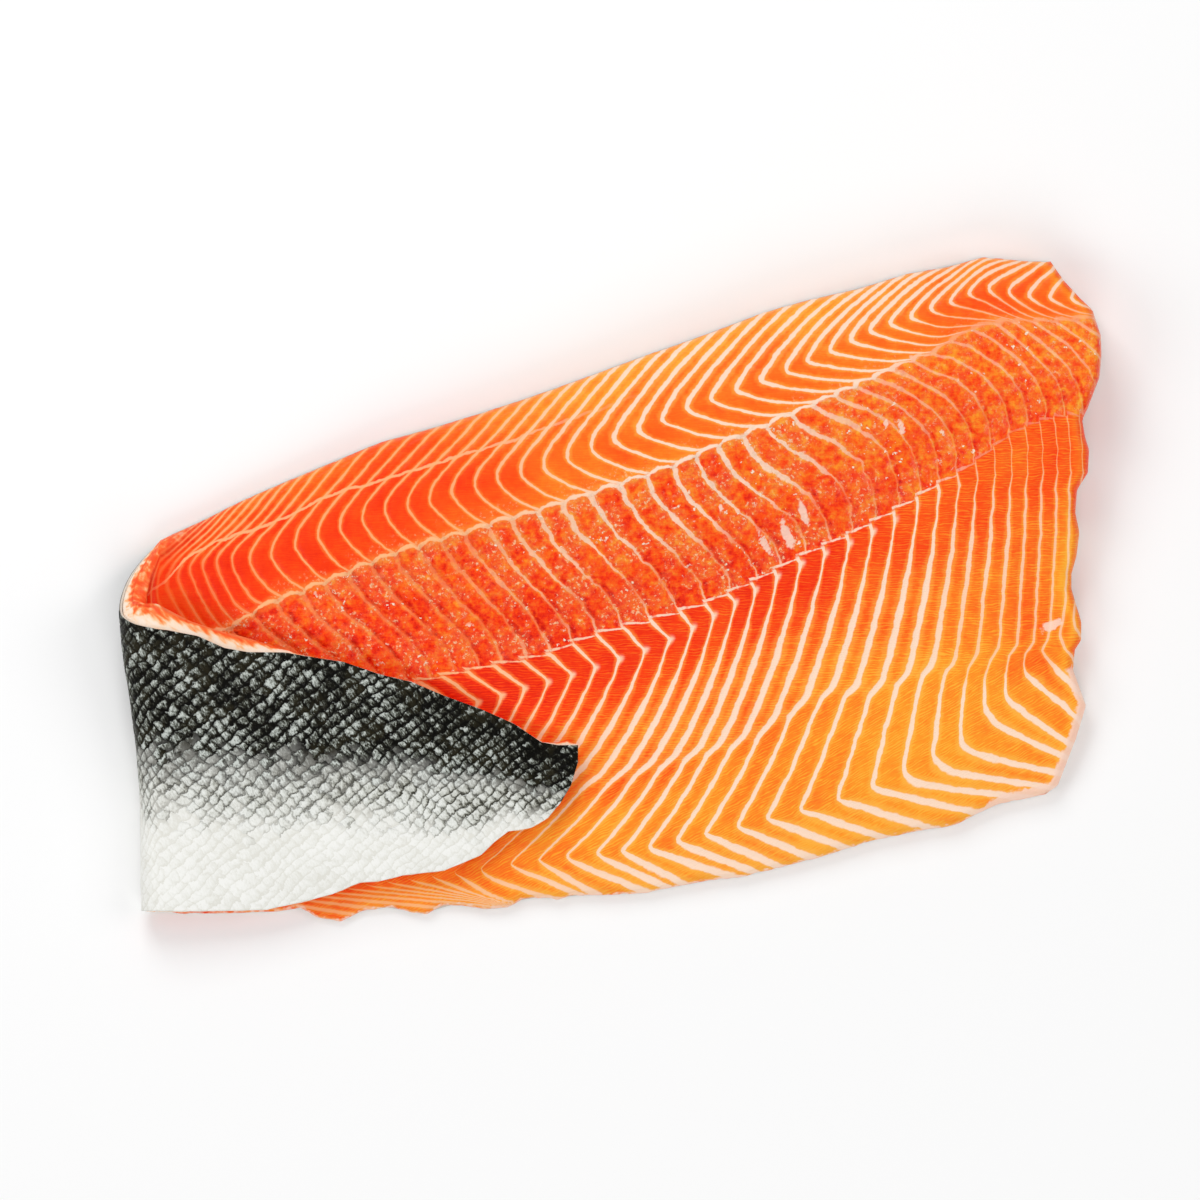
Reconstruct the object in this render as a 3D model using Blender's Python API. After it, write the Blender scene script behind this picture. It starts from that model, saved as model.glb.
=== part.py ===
"""Skin-on salmon fillet with its tail end folded over onto the flesh side.

Two closed solids: the flesh, and the skin that lies under it and, on the
folded tail, over it.  Metres, +Z up.  +X runs from the fold to the wide cut
end, +Y towards the back of the fish.

Both solids are drawn on the unfolded fillet, where a point is (a, b): a runs
along the fillet from the fold axis, b across it.  place() then lays that
sheet flat, round the bend and back over itself as the folded tail.
"""
import math

import bmesh
import bpy
import numpy as np
from mathutils import Vector
from mathutils.geometry import delaunay_2d_cdt

for old in list(bpy.data.objects):
    bpy.data.objects.remove(old, do_unlink=True)

MM = 0.001

# Layers, mm
SKIN_THICK = 1.0
LAYER_GAP = 0.3
FLESH_BASE = SKIN_THICK + LAYER_GAP
EDGE_ROUND = 3.2
EDGE_SHARE = 0.55
FLAKE_GROOVE = 0.6
FLAP_CLEAR = 0.9
FLAP_OPENING = 45.0

# The fold: axis, length of sheet in the bend, outer radius against b
FOLD_X = -162.7
BEND_LENGTH = 40.0
BEND_STEPS = 12
FOLD_RADIUS = [(-120.0, 6.6), (-98.0, 7.0), (-76.0, 7.3), (-60.0, 8.2),
               (-44.0, 10.0), (-28.0, 12.2), (-14.0, 13.8), (20.0, 14.2)]
FOLD_THICK = [(-120.0, 3.8), (-100.0, 4.8), (-80.0, 5.6), (-60.0, 6.6), (-40.0, 8.0),
              (-20.0, 9.3), (20.0, 9.5)]

# Thickness: the greatest at each place along, and its share from belly to back
MAX_THICK = [(-170.0, 10.0), (-100.0, 14.0), (-20.0, 20.0), (80.0, 24.0), (180.0, 25.0)]
ACROSS_SHARE = [(0.0, 0.22), (0.1, 0.33), (0.25, 0.42), (0.42, 0.55), (0.55, 0.72),
                (0.66, 0.86), (0.8, 1.0), (0.9, 0.95), (1.0, 0.78)]
TIP_THICK = 5.0
BACK_LINE = [(-170.0, 14.0), (-80.0, 53.0), (0.0, 79.5), (80.0, 105.0), (180.0, 120.0)]
BELLY_LINE = [(-170.0, -117.0), (-60.0, -116.0), (0.0, -110.5), (60.0, -100.0), (180.0, -72.0)]

# Outlines seen from above, mm
BACK_EDGE = [(-162.7, 17.3), (-159.8, 18.7), (-145.4, 25.2), (-139.0, 28.8), (-125.6, 34.9),
             (-112.0, 40.7), (-83.2, 52.6), (-63.7, 58.0), (-47.2, 63.0), (-31.7, 68.0),
             (-11.2, 75.2), (10.4, 83.2), (34.2, 91.4), (55.4, 99.5), (71.6, 104.0),
             (89.6, 108.0), (106.9, 113.4), (120.6, 115.6), (133.9, 119.3), (149.8, 117.9),
             (158.4, 117.7)]
CUT_END = [(158.4, 117.7), (163.1, 110.9), (169.0, 104.4), (173.2, 100.4), (176.2, 91.1),
           (176.4, 83.9), (175.7, 76.0), (171.4, 64.8), (169.6, 60.8), (170.6, 54.7),
           (172.1, 50.0), (171.7, 41.8), (167.8, 35.6), (167.3, 27.4), (168.8, 20.2),
           (167.8, 11.9), (166.0, 5.4), (166.0, 0.0), (169.6, -11.9), (169.6, -18.4),
           (167.3, -22.0), (166.7, -29.2), (171.4, -42.1), (167.8, -54.0), (161.3, -70.9),
           (157.0, -73.8)]
BELLY_EDGE = [(157.0, -73.8), (140.4, -77.4), (133.9, -80.3), (123.7, -85.3), (111.2, -87.1),
              (94.0, -90.7), (74.9, -96.8), (61.9, -100.1), (46.4, -104.0), (36.0, -104.8),
              (13.3, -109.4), (1.1, -110.2), (-14.8, -110.5), (-19.4, -112.0), (-23.8, -111.2),
              (-31.7, -111.6), (-37.4, -114.8), (-45.0, -115.6), (-53.6, -114.1),
              (-61.2, -114.1), (-67.0, -117.4), (-70.6, -117.0), (-78.8, -114.8),
              (-89.6, -115.9), (-97.9, -119.9), (-106.2, -118.4), (-112.3, -114.8),
              (-120.6, -116.3), (-136.1, -117.0), (-155.2, -117.0), (-162.7, -116.3)]
FLAP_BACK = [(-162.7, -5.4), (-160.2, -6.8), (-151.2, -11.5), (-142.2, -14.6), (-133.2, -16.9),
             (-124.2, -19.6), (-115.2, -22.3), (-109.8, -24.7), (-95.8, -27.1), (-83.5, -31.5),
             (-71.6, -34.3), (-59.8, -39.4), (-46.8, -44.1), (-34.7, -49.5), (-25.2, -55.6),
             (-19.8, -55.4), (-14.8, -54.2), (-12.6, -56.5)]
FLAP_SKIN_BACK = [(-162.7, -14.4), (-158.8, -14.8), (-148.1, -16.9), (-138.6, -21.2),
                  (-130.3, -22.7), (-117.0, -22.8), (-109.8, -24.1), (-95.8, -26.3),
                  (-83.5, -30.6), (-71.6, -33.5), (-59.8, -38.5), (-46.8, -43.2),
                  (-34.7, -48.6), (-25.2, -55.1), (-19.1, -56.2), (-11.9, -56.2)]
FLAP_LOW = [(-11.9, -56.2), (-11.9, -62.3), (-14.4, -70.6), (-18.0, -76.7), (-22.7, -82.4),
            (-28.8, -86.0), (-37.1, -87.3), (-41.8, -90.9), (-46.8, -95.8), (-55.1, -99.4),
            (-60.8, -101.5), (-74.2, -103.0), (-82.4, -105.1), (-90.7, -105.8),
            (-100.4, -110.0), (-112.3, -113.0), (-124.2, -115.6), (-136.1, -115.9),
            (-155.2, -116.1), (-162.7, -115.9)]
FLESH_BEND_BACK = [(0.0, 17.3), (0.25, 6.8), (0.5, -2.9), (0.75, -4.9), (1.0, -5.4)]
SKIN_BEND_BACK = [(0.0, 17.8), (0.25, 6.1), (0.5, -6.5), (0.75, -11.9), (1.0, -14.4)]
SKIN_OVERHANG = 0.5
LOW_INSET = 0.5

# Lines that the flakes turn at, from back to belly
LINE_CREST = [(-184.0, -4.0), (-166.0, 3.2), (-153.4, 9.0), (-137.9, 10.8), (-124.1, 12.2),
              (-106.7, 19.8), (-90.9, 25.2), (-74.8, 30.2), (-58.1, 34.9), (-42.7, 39.2),
              (-26.0, 43.7), (-8.9, 49.7), (9.8, 56.5), (26.2, 64.1), (43.6, 70.6),
              (61.9, 77.8), (77.6, 85.0), (92.4, 92.2), (107.9, 97.6), (120.7, 102.6),
              (134.4, 107.3), (149.3, 104.8), (161.6, 104.0), (179.6, 102.6)]
LINE_UPPER = [(-184.0, -32.8), (-166.0, -23.8), (-155.2, -18.4), (-136.8, -13.7), (-123.5, -5.4),
              (-107.6, 0.7), (-90.7, 7.7), (-74.9, 13.7), (-56.2, 19.1), (-34.9, 25.7),
              (-16.9, 31.0), (2.3, 37.4), (20.9, 43.9), (38.9, 51.8), (55.4, 58.7),
              (71.6, 65.9), (90.7, 74.2), (105.1, 81.0), (115.9, 85.3), (125.5, 91.1),
              (136.8, 95.4), (155.2, 95.8), (164.2, 96.5), (179.6, 98.6)]
LINE_LOWER = [(-184.0, -61.6), (-112.0, -44.3), (-67.7, -32.8), (-43.2, -27.4), (-25.9, -23.8),
              (-5.4, -16.2), (15.8, -10.4), (34.2, -4.7), (51.5, 3.2), (68.4, 12.2),
              (85.0, 19.8), (100.4, 27.7), (115.9, 37.1), (130.7, 45.9), (142.9, 55.4),
              (155.2, 60.8), (179.6, 63.0)]
LINE_BEND = [(-184.0, -68.8), (-112.0, -52.6), (-67.7, -43.6), (-49.0, -41.0), (-29.9, -35.3),
             (-15.5, -31.3), (2.9, -25.2), (21.6, -18.0), (37.8, -9.0), (51.8, -0.4),
             (68.8, 9.5), (86.0, 16.6), (101.9, 24.8), (118.4, 34.6), (132.1, 42.1),
             (149.4, 51.8), (159.1, 52.2), (179.6, 54.4)]
LINE_BELLY = [(-184.0, -113.8), (-112.0, -109.4), (-69.5, -103.7), (-56.2, -102.2),
              (-37.4, -99.4), (-17.3, -96.5), (3.4, -94.7), (23.9, -90.7), (44.8, -85.7),
              (67.3, -79.9), (92.9, -71.6), (103.7, -66.6), (115.6, -60.1), (126.0, -52.2),
              (134.6, -41.0), (143.3, -36.7), (150.5, -26.1), (158.0, -18.4), (179.6, 10.4)]

# How far along a flake runs between two of those lines
RUN_CREST_BACK = [(-184.0, 21.6), (-112.0, 23.8), (-58.0, 27.0), (-4.0, 28.1), (68.0, 28.1),
                  (89.6, 25.9), (120.6, 22.7), (140.0, 14.4), (179.6, 14.4)]
RUN_CREST_UPPER = [(-184.0, 14.4), (-58.0, 15.1), (-25.6, 19.8), (10.4, 27.0), (104.0, 28.1),
                   (132.8, 21.6), (179.6, 18.0)]
RUN_UPPER_LOWER = [(-184.0, 28.8), (-44.6, 30.4), (32.0, 31.0), (101.0, 29.9), (140.0, 25.2),
                   (179.6, 21.6)]
RUN_BEND_BELLY = [(-47.2, -58.7), (12.2, -59.6), (29.5, -56.3), (51.8, -48.4), (77.8, -42.8),
                  (101.9, -34.6), (124.9, -21.2), (144.4, -9.7), (179.6, -2.9)]
RUN_BELLY_EDGE = [(-184.0, 33.1), (32.0, 33.1), (104.0, 21.6), (115.6, 15.5), (140.0, 10.8),
                  (179.6, 7.2)]

# Flake number against distance along, one curve for each of the three bands
COUNT_BACK = [(-184.0, 46.0), (-153.4, 39.0), (-137.9, 36.0), (-106.7, 32.0), (-74.8, 28.0),
              (-42.7, 24.0), (-8.9, 20.0), (26.2, 16.0), (61.9, 12.0), (92.4, 8.0),
              (120.7, 4.0), (149.3, 0.0), (180.0, -4.0)]
COUNT_MIDDLE = [(-184.0, 38.5), (-60.7, 24.0), (-26.6, 20.0), (12.6, 16.0), (47.2, 12.0),
                (79.9, 8.0), (106.9, 4.0), (136.8, 0.0), (180.0, -6.0)]
COUNT_BELLY = [(-184.0, 45.5), (-39.2, 28.0), (-5.6, 24.0), (29.5, 20.0), (59.9, 16.0),
               (94.0, 12.0), (124.9, 8.0), (149.4, 4.0), (169.0, 0.0), (180.0, -3.0)]


def ramp(knots, at):
    """Piecewise straight curve through the knots, read at each value of at."""
    table = np.array(knots, float)
    return np.interp(at, table[:, 0], table[:, 1])


def curve(knots, at):
    """Smooth cubic curve through the knots, its slopes the knots' own gradients."""
    table = np.array(knots, float)
    px, py = table[:, 0], table[:, 1]
    slope = np.gradient(py, px)
    k = np.clip(np.searchsorted(px, at) - 1, 0, len(px) - 2)
    step = px[k + 1] - px[k]
    t = np.clip((at - px[k]) / step, 0.0, 1.0)
    return ((2 * t ** 3 - 3 * t ** 2 + 1) * py[k] + (t ** 3 - 2 * t ** 2 + t) * step * slope[k]
            + (3 * t ** 2 - 2 * t ** 3) * py[k + 1] + (t ** 3 - t ** 2) * step * slope[k + 1])


def smooth(value):
    """Smooth step from 0 to 1 as value goes from 0 to 1."""
    v = np.clip(value, 0.0, 1.0)
    return v * v * (3.0 - 2.0 * v)


def resample(points, spacing):
    """Points at even distances along a path of straight pieces, ends kept."""
    path = np.array(points, float)
    along = np.concatenate([[0.0], np.cumsum(np.hypot(*np.diff(path, axis=0).T))])
    count = max(1, int(round(along[-1] / spacing)))
    at = np.linspace(0.0, along[-1], count + 1)
    return np.stack([np.interp(at, along, path[:, 0]), np.interp(at, along, path[:, 1])], 1)


def flap_to_sheet(points):
    """Turn points of the folded tail, seen from above, into sheet places."""
    path = np.array(points, float)
    return np.stack([-BEND_LENGTH - (path[:, 0] - FOLD_X), path[:, 1]], 1)


def body_to_sheet(points):
    """Turn points of the flat part, seen from above, into sheet places."""
    path = np.array(points, float)
    return np.stack([path[:, 0] - FOLD_X, path[:, 1]], 1)


def sheet_outline(back, bend_back, flap_back, low_inset, spacing):
    """Closed outline of the unfolded fillet, counter-clockwise."""
    steps = np.linspace(0.0, 1.0, BEND_STEPS + 1)
    bend_top = np.stack([-BEND_LENGTH * steps, curve(bend_back, steps)], 1)
    belly_start = BELLY_EDGE[-1][1]
    flap_low = flap_to_sheet(FLAP_LOW)
    if low_inset > 0.0:
        flap_low[:, 1] += low_inset * smooth((flap_low[:, 1] + 118.0) / 12.0)
        flap_low[:, 0] = np.maximum(flap_low[:, 0], flap_low[:, 0].min() + low_inset)
    low_start = flap_low[-1][1]
    bend_low = np.stack([-BEND_LENGTH * steps[::-1],
                         belly_start + (low_start - belly_start) * steps[::-1]], 1)
    parts = [resample(body_to_sheet(CUT_END)[::-1], spacing),
             resample(body_to_sheet(back)[::-1], spacing),
             bend_top,
             resample(flap_to_sheet(flap_back), spacing),
             resample(flap_low, spacing),
             bend_low,
             resample(body_to_sheet(BELLY_EDGE)[::-1], spacing)]
    whole = np.concatenate(parts)
    gap = np.hypot(*(whole - np.roll(whole, 1, axis=0)).T)
    return whole[gap > 0.35]


def edge_distance(points, outline):
    """Shortest distance from each point to the closed outline."""
    start = outline
    side = np.roll(outline, -1, axis=0) - outline
    length2 = (side ** 2).sum(1)
    rel = points[:, None, :] - start[None, :, :]
    t = np.clip((rel * side[None]).sum(2) / length2[None], 0.0, 1.0)
    off = rel - t[:, :, None] * side[None]
    return np.sqrt((off ** 2).sum(2)).min(1)


def inside(points, outline):
    """True where a point lies inside the closed outline."""
    x1, y1 = outline[:, 0], outline[:, 1]
    x2, y2 = np.roll(x1, -1), np.roll(y1, -1)
    px, py = points[:, 0][:, None], points[:, 1][:, None]
    spans = (y1 > py) != (y2 > py)
    rise = np.where(y2 == y1, 1e-9, y2 - y1)
    cross = px < (x2 - x1) * (py - y1) / rise + x1
    return (spans & cross).sum(1) % 2 == 1


def base_thickness(x, b):
    """Height of the flesh face over the skin's outer face in the flat part."""
    low = curve(BELLY_LINE, x)
    high = curve(BACK_LINE, x)
    share = curve(ACROSS_SHARE, (b - low) / (high - low))
    full = curve(MAX_THICK, x) * share
    near = curve(FOLD_THICK, b)
    blend = smooth((x - FOLD_X) / 60.0)
    return near + (full - near) * blend


def flap_thickness(x, b):
    """Thickness of the folded tail, thinner towards its tip."""
    share = smooth((x - FOLD_X) / 150.0)
    near = curve(FOLD_THICK, b)
    return near + (np.minimum(TIP_THICK, near) - near) * share


def flap_top(x, b):
    """Height of the skin's outer face on the folded tail."""
    near = 2.0 * (curve(FOLD_RADIUS, b) - curve(FOLD_THICK, b))
    opening = FLAP_CLEAR + (near - FLAP_CLEAR) * np.exp(-((x - FOLD_X) / FLAP_OPENING) ** 2)
    return base_thickness(x, b) + opening + flap_thickness(x, b)


def sheet_thickness(a, b):
    """Thickness of the sheet before its edges are rounded."""
    flat = base_thickness(FOLD_X + np.maximum(a, 0.0), b)
    flap = flap_thickness(FOLD_X + np.maximum(-a - BEND_LENGTH, 0.0), b)
    return np.where(a > 0.0, flat, flap)


def place(a, b, h):
    """Sheet place (a, b) and height h over the skin's outer face, to x, y, z."""
    radius = curve(FOLD_RADIUS, b)
    turn = np.clip(-a / BEND_LENGTH, 0.0, 1.0) * math.pi
    bend_x = FOLD_X - (radius - h) * np.sin(turn)
    bend_z = radius - (radius - h) * np.cos(turn)
    flap_x = FOLD_X + (-a - BEND_LENGTH)
    flap_z = flap_top(flap_x, b) - h
    x = np.where(a >= 0.0, FOLD_X + a, np.where(a > -BEND_LENGTH, bend_x, flap_x))
    z = np.where(a >= 0.0, h, np.where(a > -BEND_LENGTH, bend_z, flap_z))
    return np.stack([x, b, z], 1) * MM


def number_to_place(count, numbers):
    """Distance along at which the flake count takes each of the numbers."""
    x = np.linspace(-184.0, 179.0, 800)
    n = curve(count, x)
    order = np.argsort(n)
    return np.interp(numbers, n[order], x[order])


def flake_paths(step):
    """Paths of the flakes' edges and middles as (points, depth) pairs.

    Each path runs from one turning line to the next: straight in share of
    the way between them, shifted along by the run of that band.
    """
    paths = []
    halves = np.arange(-8, 90) / 2.0
    for half in halves:
        is_edge = float(half).is_integer()
        depth = FLAKE_GROOVE if is_edge else 0.0
        x0 = float(number_to_place(COUNT_BACK, half))
        w = np.linspace(0.06, 0.9, 5)
        for run, line, power in ((RUN_CREST_BACK, BACK_EDGE, 1.0),
                                 (RUN_CREST_UPPER, LINE_UPPER, 1.35)):
            x = x0 + ramp(run, x0) * w ** power
            y = curve(LINE_CREST, x) + (ramp(line, x) - curve(LINE_CREST, x)) * w
            paths.append((np.stack([x, y], 1), depth))
        x0 = float(number_to_place(COUNT_MIDDLE, half))
        w = np.linspace(0.08, 0.94, 5)
        x = x0 + ramp(RUN_UPPER_LOWER, x0) * w
        y = curve(LINE_UPPER, x) + (curve(LINE_LOWER, x) - curve(LINE_UPPER, x)) * w
        paths.append((np.stack([x, y], 1), depth))
        x0 = float(number_to_place(COUNT_BELLY, half))
        w = np.linspace(0.02, 0.97, 8)
        x = x0 + ramp(RUN_BEND_BELLY, x0) * w
        y = curve(LINE_BEND, x) + (curve(LINE_BELLY, x) - curve(LINE_BEND, x)) * w
        paths.append((np.stack([x, y], 1), depth))
        w = np.linspace(0.12, 0.85, 3)
        x = x0 + ramp(RUN_BEND_BELLY, x0) + ramp(RUN_BELLY_EDGE, x0) * w
        y = curve(LINE_BELLY, x) + (ramp(BELLY_EDGE[::-1], x) - curve(LINE_BELLY, x)) * w
        paths.append((np.stack([x, y], 1), depth))
    return [(p, d) for p, d in paths if np.all(np.abs(p[:, 0]) < 179.0)]


def triangulate(outline, spots, chains):
    """Triangles of the outline's inside that use its corners, spots and chains.

    Returns the corner places, the triangles and, for each corner of the
    outline, which place it became.
    """
    points = [Vector(p) for p in outline]
    count = len(outline)
    edges = [(k, (k + 1) % count) for k in range(count)]
    for spot in spots:
        points.append(Vector(spot))
    for chain in chains:
        first = len(points)
        points.extend(Vector(p) for p in chain)
        edges.extend((first + k, first + k + 1) for k in range(len(chain) - 1))
    verts, _, faces, origins, _, _ = delaunay_2d_cdt(points, edges, [], 1, 0.02)
    where = {}
    for new, olds in enumerate(origins):
        for old in olds:
            if old < count:
                where[old] = new
    ring = [where[k] for k in range(count)]
    places = np.array([(v.x, v.y) for v in verts])
    return places, [tuple(f) for f in faces], ring


def make_solid(name, upper, lower, colour, roughness):
    """Closed solid from an upper and a lower patch that share one outline.

    Each patch is (corner positions, triangles, ring of outline corners); the
    side wall joins the two rings and each patch's triangles face outward.
    """
    up_xyz, up_faces, up_ring = upper
    low_xyz, low_faces, low_ring = lower
    offset = len(up_xyz)
    faces = [tuple(f) for f in up_faces]
    faces += [tuple(offset + k for k in reversed(f)) for f in low_faces]
    count = len(up_ring)
    for k in range(count):
        j = (k + 1) % count
        a, b = up_ring[k], up_ring[j]
        c, d = offset + low_ring[j], offset + low_ring[k]
        faces.append((a, d, c))
        faces.append((a, c, b))
    mesh = bpy.data.meshes.new(name)
    mesh.from_pydata(np.concatenate([up_xyz, low_xyz]).tolist(), [], faces)
    shaped = bmesh.new()
    shaped.from_mesh(mesh)
    bmesh.ops.delete(shaped, geom=[v for v in shaped.verts if not v.link_faces],
                     context="VERTS")
    bmesh.ops.recalc_face_normals(shaped, faces=shaped.faces)
    if shaped.calc_volume(signed=True) < 0.0:
        bmesh.ops.reverse_faces(shaped, faces=shaped.faces)
    for face in shaped.faces:
        face.smooth = True
    shaped.to_mesh(mesh)
    shaped.free()
    part = bpy.data.objects.new(name, mesh)
    bpy.context.scene.collection.objects.link(part)
    material = bpy.data.materials.new(name)
    material.use_nodes = True
    shader = material.node_tree.nodes["Principled BSDF"]
    shader.inputs["Base Color"].default_value = colour
    shader.inputs["Roughness"].default_value = roughness
    shader.inputs["Metallic"].default_value = 0.0
    material.diffuse_color = colour
    mesh.materials.append(material)
    return part


def grid_spots(outline, along, across, margin):
    """Even rows of points inside the outline; the bend has its own columns."""
    low, high = outline.min(0), outline.max(0)
    flat = np.arange(along * 0.5, high[0], along)
    bend = -BEND_LENGTH * np.arange(0, BEND_STEPS + 1) / BEND_STEPS
    flap = np.arange(-BEND_LENGTH - along * 0.5, low[0], -along)
    rows = []
    for column in np.concatenate([flat, bend, flap]):
        b = np.arange(low[1], high[1], across)
        rows.append(np.stack([np.full_like(b, column), b], 1))
    spots = np.concatenate(rows)
    spots = spots[inside(spots, outline)]
    return spots[edge_distance(spots, outline) > margin]


def inset_ring(outline, inset, spacing):
    """Points about inset inside the outline, those too near another edge left out."""
    path = resample(np.concatenate([outline, outline[:1]]), spacing)[:-1]
    tangent = np.roll(path, -1, axis=0) - np.roll(path, 1, axis=0)
    tangent /= np.hypot(*tangent.T)[:, None]
    ring = path + np.stack([-tangent[:, 1], tangent[:, 0]], 1) * inset
    ring = ring[inside(ring, outline)]
    return ring[edge_distance(ring, outline) > inset * 0.85]


flesh_outline = sheet_outline(BACK_EDGE, FLESH_BEND_BACK, FLAP_BACK, LOW_INSET, 5.0)
skin_back = [(x, y + SKIN_OVERHANG) for x, y in BACK_EDGE]
skin_back[-1] = BACK_EDGE[-1]
skin_outline = sheet_outline(skin_back, SKIN_BEND_BACK, FLAP_SKIN_BACK, 0.0, 5.0)
flap_cover = np.array(FLAP_SKIN_BACK[:-1] + FLAP_LOW)


def open_to_view(points):
    """True where a flat-part place, seen from above, is clear of the folded tail."""
    covered = inside(points, flap_cover) & (edge_distance(points, flap_cover) > 4.0)
    return ~covered


def relief_depth(points, chains):
    """Depth of the flake grooves: each chain point keeps the depth of its path."""
    depth = np.zeros(len(points))
    for chain, own in chains:
        if own == 0.0:
            continue
        gap = np.abs(points[:, None, :] - chain[None, :, :]).sum(2)
        depth[gap.min(1) < 0.05] = own
    return depth


chains = []
for path, path_depth in flake_paths(6.0):
    seen = open_to_view(path)
    sheet = body_to_sheet(path)
    keep = seen & inside(sheet, flesh_outline) & (edge_distance(sheet, flesh_outline) > 3.4)
    keep &= sheet[:, 0] > 4.0
    run = []
    for point, good in zip(sheet, keep):
        if good:
            run.append(point)
            continue
        if len(run) > 1:
            chains.append((np.array(run), path_depth))
        run = []
    if len(run) > 1:
        chains.append((np.array(run), path_depth))

# Flesh: the upper patch is the flesh face, the lower one lies on the skin
coarse = grid_spots(flesh_outline, 9.0, 9.0, 4.5)
coarse = coarse[inside(coarse, skin_outline)]
coarse = coarse[edge_distance(coarse, skin_outline) > 3.5]
rings = np.concatenate([inset_ring(flesh_outline, 0.8, 5.0), inset_ring(flesh_outline, 2.6, 6.0)])
flat_view = coarse + np.array([FOLD_X, 0.0])
hidden = (coarse[:, 0] <= 4.0) | ~open_to_view(flat_view)
face_spots = np.concatenate([coarse[hidden], rings])
places, triangles, ring = triangulate(flesh_outline, face_spots, [c for c, _ in chains])
distance = edge_distance(places, flesh_outline)
full = sheet_thickness(places[:, 0], places[:, 1])
round_share = np.sqrt(np.clip(1.0 - (1.0 - np.minimum(distance / EDGE_ROUND, 1.0)) ** 2, 0.0, 1.0))
rounded = full * (EDGE_SHARE + (1.0 - EDGE_SHARE) * round_share)
rounded -= relief_depth(places, chains)
rounded = np.maximum(rounded, FLESH_BASE + 1.0)
flesh_face = (place(places[:, 0], places[:, 1], rounded), triangles, ring)

low_spots = coarse
places, triangles, ring = triangulate(flesh_outline, low_spots, [])
turned = np.clip(-places[:, 0] / BEND_LENGTH, 0.0, 1.0)
flap_view_x = FOLD_X + np.maximum(-places[:, 0] - BEND_LENGTH, 0.0)
skin_edge = np.where(turned < 1.0, curve(SKIN_BEND_BACK, turned), ramp(FLAP_SKIN_BACK, flap_view_x))
flesh_edge = np.where(turned < 1.0, curve(FLESH_BEND_BACK, turned), ramp(FLAP_BACK, flap_view_x))
width = np.maximum(flesh_edge - skin_edge, 0.05)
beyond = np.clip((places[:, 1] - skin_edge + 0.4) / width, 0.0, 1.0)
beyond = np.where((places[:, 0] < -1.0) & (width > 0.6), beyond, 0.0)
full = sheet_thickness(places[:, 0], places[:, 1])
bottom = FLESH_BASE + beyond * np.maximum(full * EDGE_SHARE - FLESH_BASE - 1.2, 0.0)
flesh_back = (place(places[:, 0], places[:, 1], bottom), triangles, ring)
make_solid("flesh", flesh_face, flesh_back, (0.93, 0.24, 0.05, 1.0), 0.35)

# Skin: one thin layer under the whole fillet and over the folded tail
places, triangles, ring = triangulate(skin_outline, coarse, [])
inner = place(places[:, 0], places[:, 1], np.full(len(places), SKIN_THICK))
outer = place(places[:, 0], places[:, 1], np.zeros(len(places)))
make_solid("skin", (inner, triangles, ring), (outer, triangles, ring), (0.22, 0.22, 0.20, 1.0), 0.4)
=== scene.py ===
"""Skin-on salmon fillet with its tail end folded over: the visual model.

The fillet is drawn on an unfolded sheet, where a place is (a, b): a runs along
it from the fold axis and b runs across it.  place() lays that sheet flat,
round the bend and back over itself.  All shape values are in millimetres.
"""
import math
from types import SimpleNamespace

import bpy
import numpy as np
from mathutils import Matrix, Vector


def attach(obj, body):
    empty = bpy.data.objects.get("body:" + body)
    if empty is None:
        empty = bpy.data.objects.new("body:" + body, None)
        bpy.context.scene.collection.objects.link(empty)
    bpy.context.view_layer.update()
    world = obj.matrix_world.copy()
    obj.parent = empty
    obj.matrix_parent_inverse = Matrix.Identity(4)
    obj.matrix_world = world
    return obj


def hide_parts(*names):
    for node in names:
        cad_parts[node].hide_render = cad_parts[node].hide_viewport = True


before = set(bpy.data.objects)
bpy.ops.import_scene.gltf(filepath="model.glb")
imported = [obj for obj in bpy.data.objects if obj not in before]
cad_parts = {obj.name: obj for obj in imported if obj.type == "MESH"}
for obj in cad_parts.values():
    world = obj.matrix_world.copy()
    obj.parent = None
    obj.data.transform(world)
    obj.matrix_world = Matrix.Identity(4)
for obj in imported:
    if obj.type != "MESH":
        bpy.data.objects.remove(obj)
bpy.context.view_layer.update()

MM = 0.001

# Layers and edges
SKIN_THICK = 1.0
LAYER_GAP = 0.3
FLESH_BASE = SKIN_THICK + LAYER_GAP
EDGE_ROUND = 3.2
EDGE_SHARE = 0.55
FLAP_CLEAR = 0.9
FLAP_OPENING = 45.0

# The fold
FOLD_X = -162.7
BEND_LENGTH = 40.0
FOLD_RADIUS = [(-120.0, 6.6), (-98.0, 7.0), (-76.0, 7.3), (-60.0, 8.2),
               (-44.0, 10.0), (-28.0, 12.2), (-14.0, 13.8), (20.0, 14.2)]
FOLD_THICK = [(-120.0, 3.8), (-100.0, 4.8), (-80.0, 5.6), (-60.0, 6.6), (-40.0, 8.0),
              (-20.0, 9.3), (20.0, 9.5)]

# Thickness along the fillet and its share across, from belly to back
MAX_THICK = [(-170.0, 10.0), (-100.0, 14.0), (-20.0, 20.0), (80.0, 24.0), (180.0, 25.0)]
ACROSS_SHARE = [(0.0, 0.22), (0.1, 0.33), (0.25, 0.42), (0.42, 0.55), (0.55, 0.72),
                (0.66, 0.86), (0.8, 1.0), (0.9, 0.95), (1.0, 0.78)]
TIP_THICK = 5.0
BACK_LINE = [(-170.0, 14.0), (-80.0, 53.0), (0.0, 79.5), (80.0, 105.0), (180.0, 120.0)]
BELLY_LINE = [(-170.0, -117.0), (-60.0, -116.0), (0.0, -110.5), (60.0, -100.0), (180.0, -72.0)]

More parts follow.
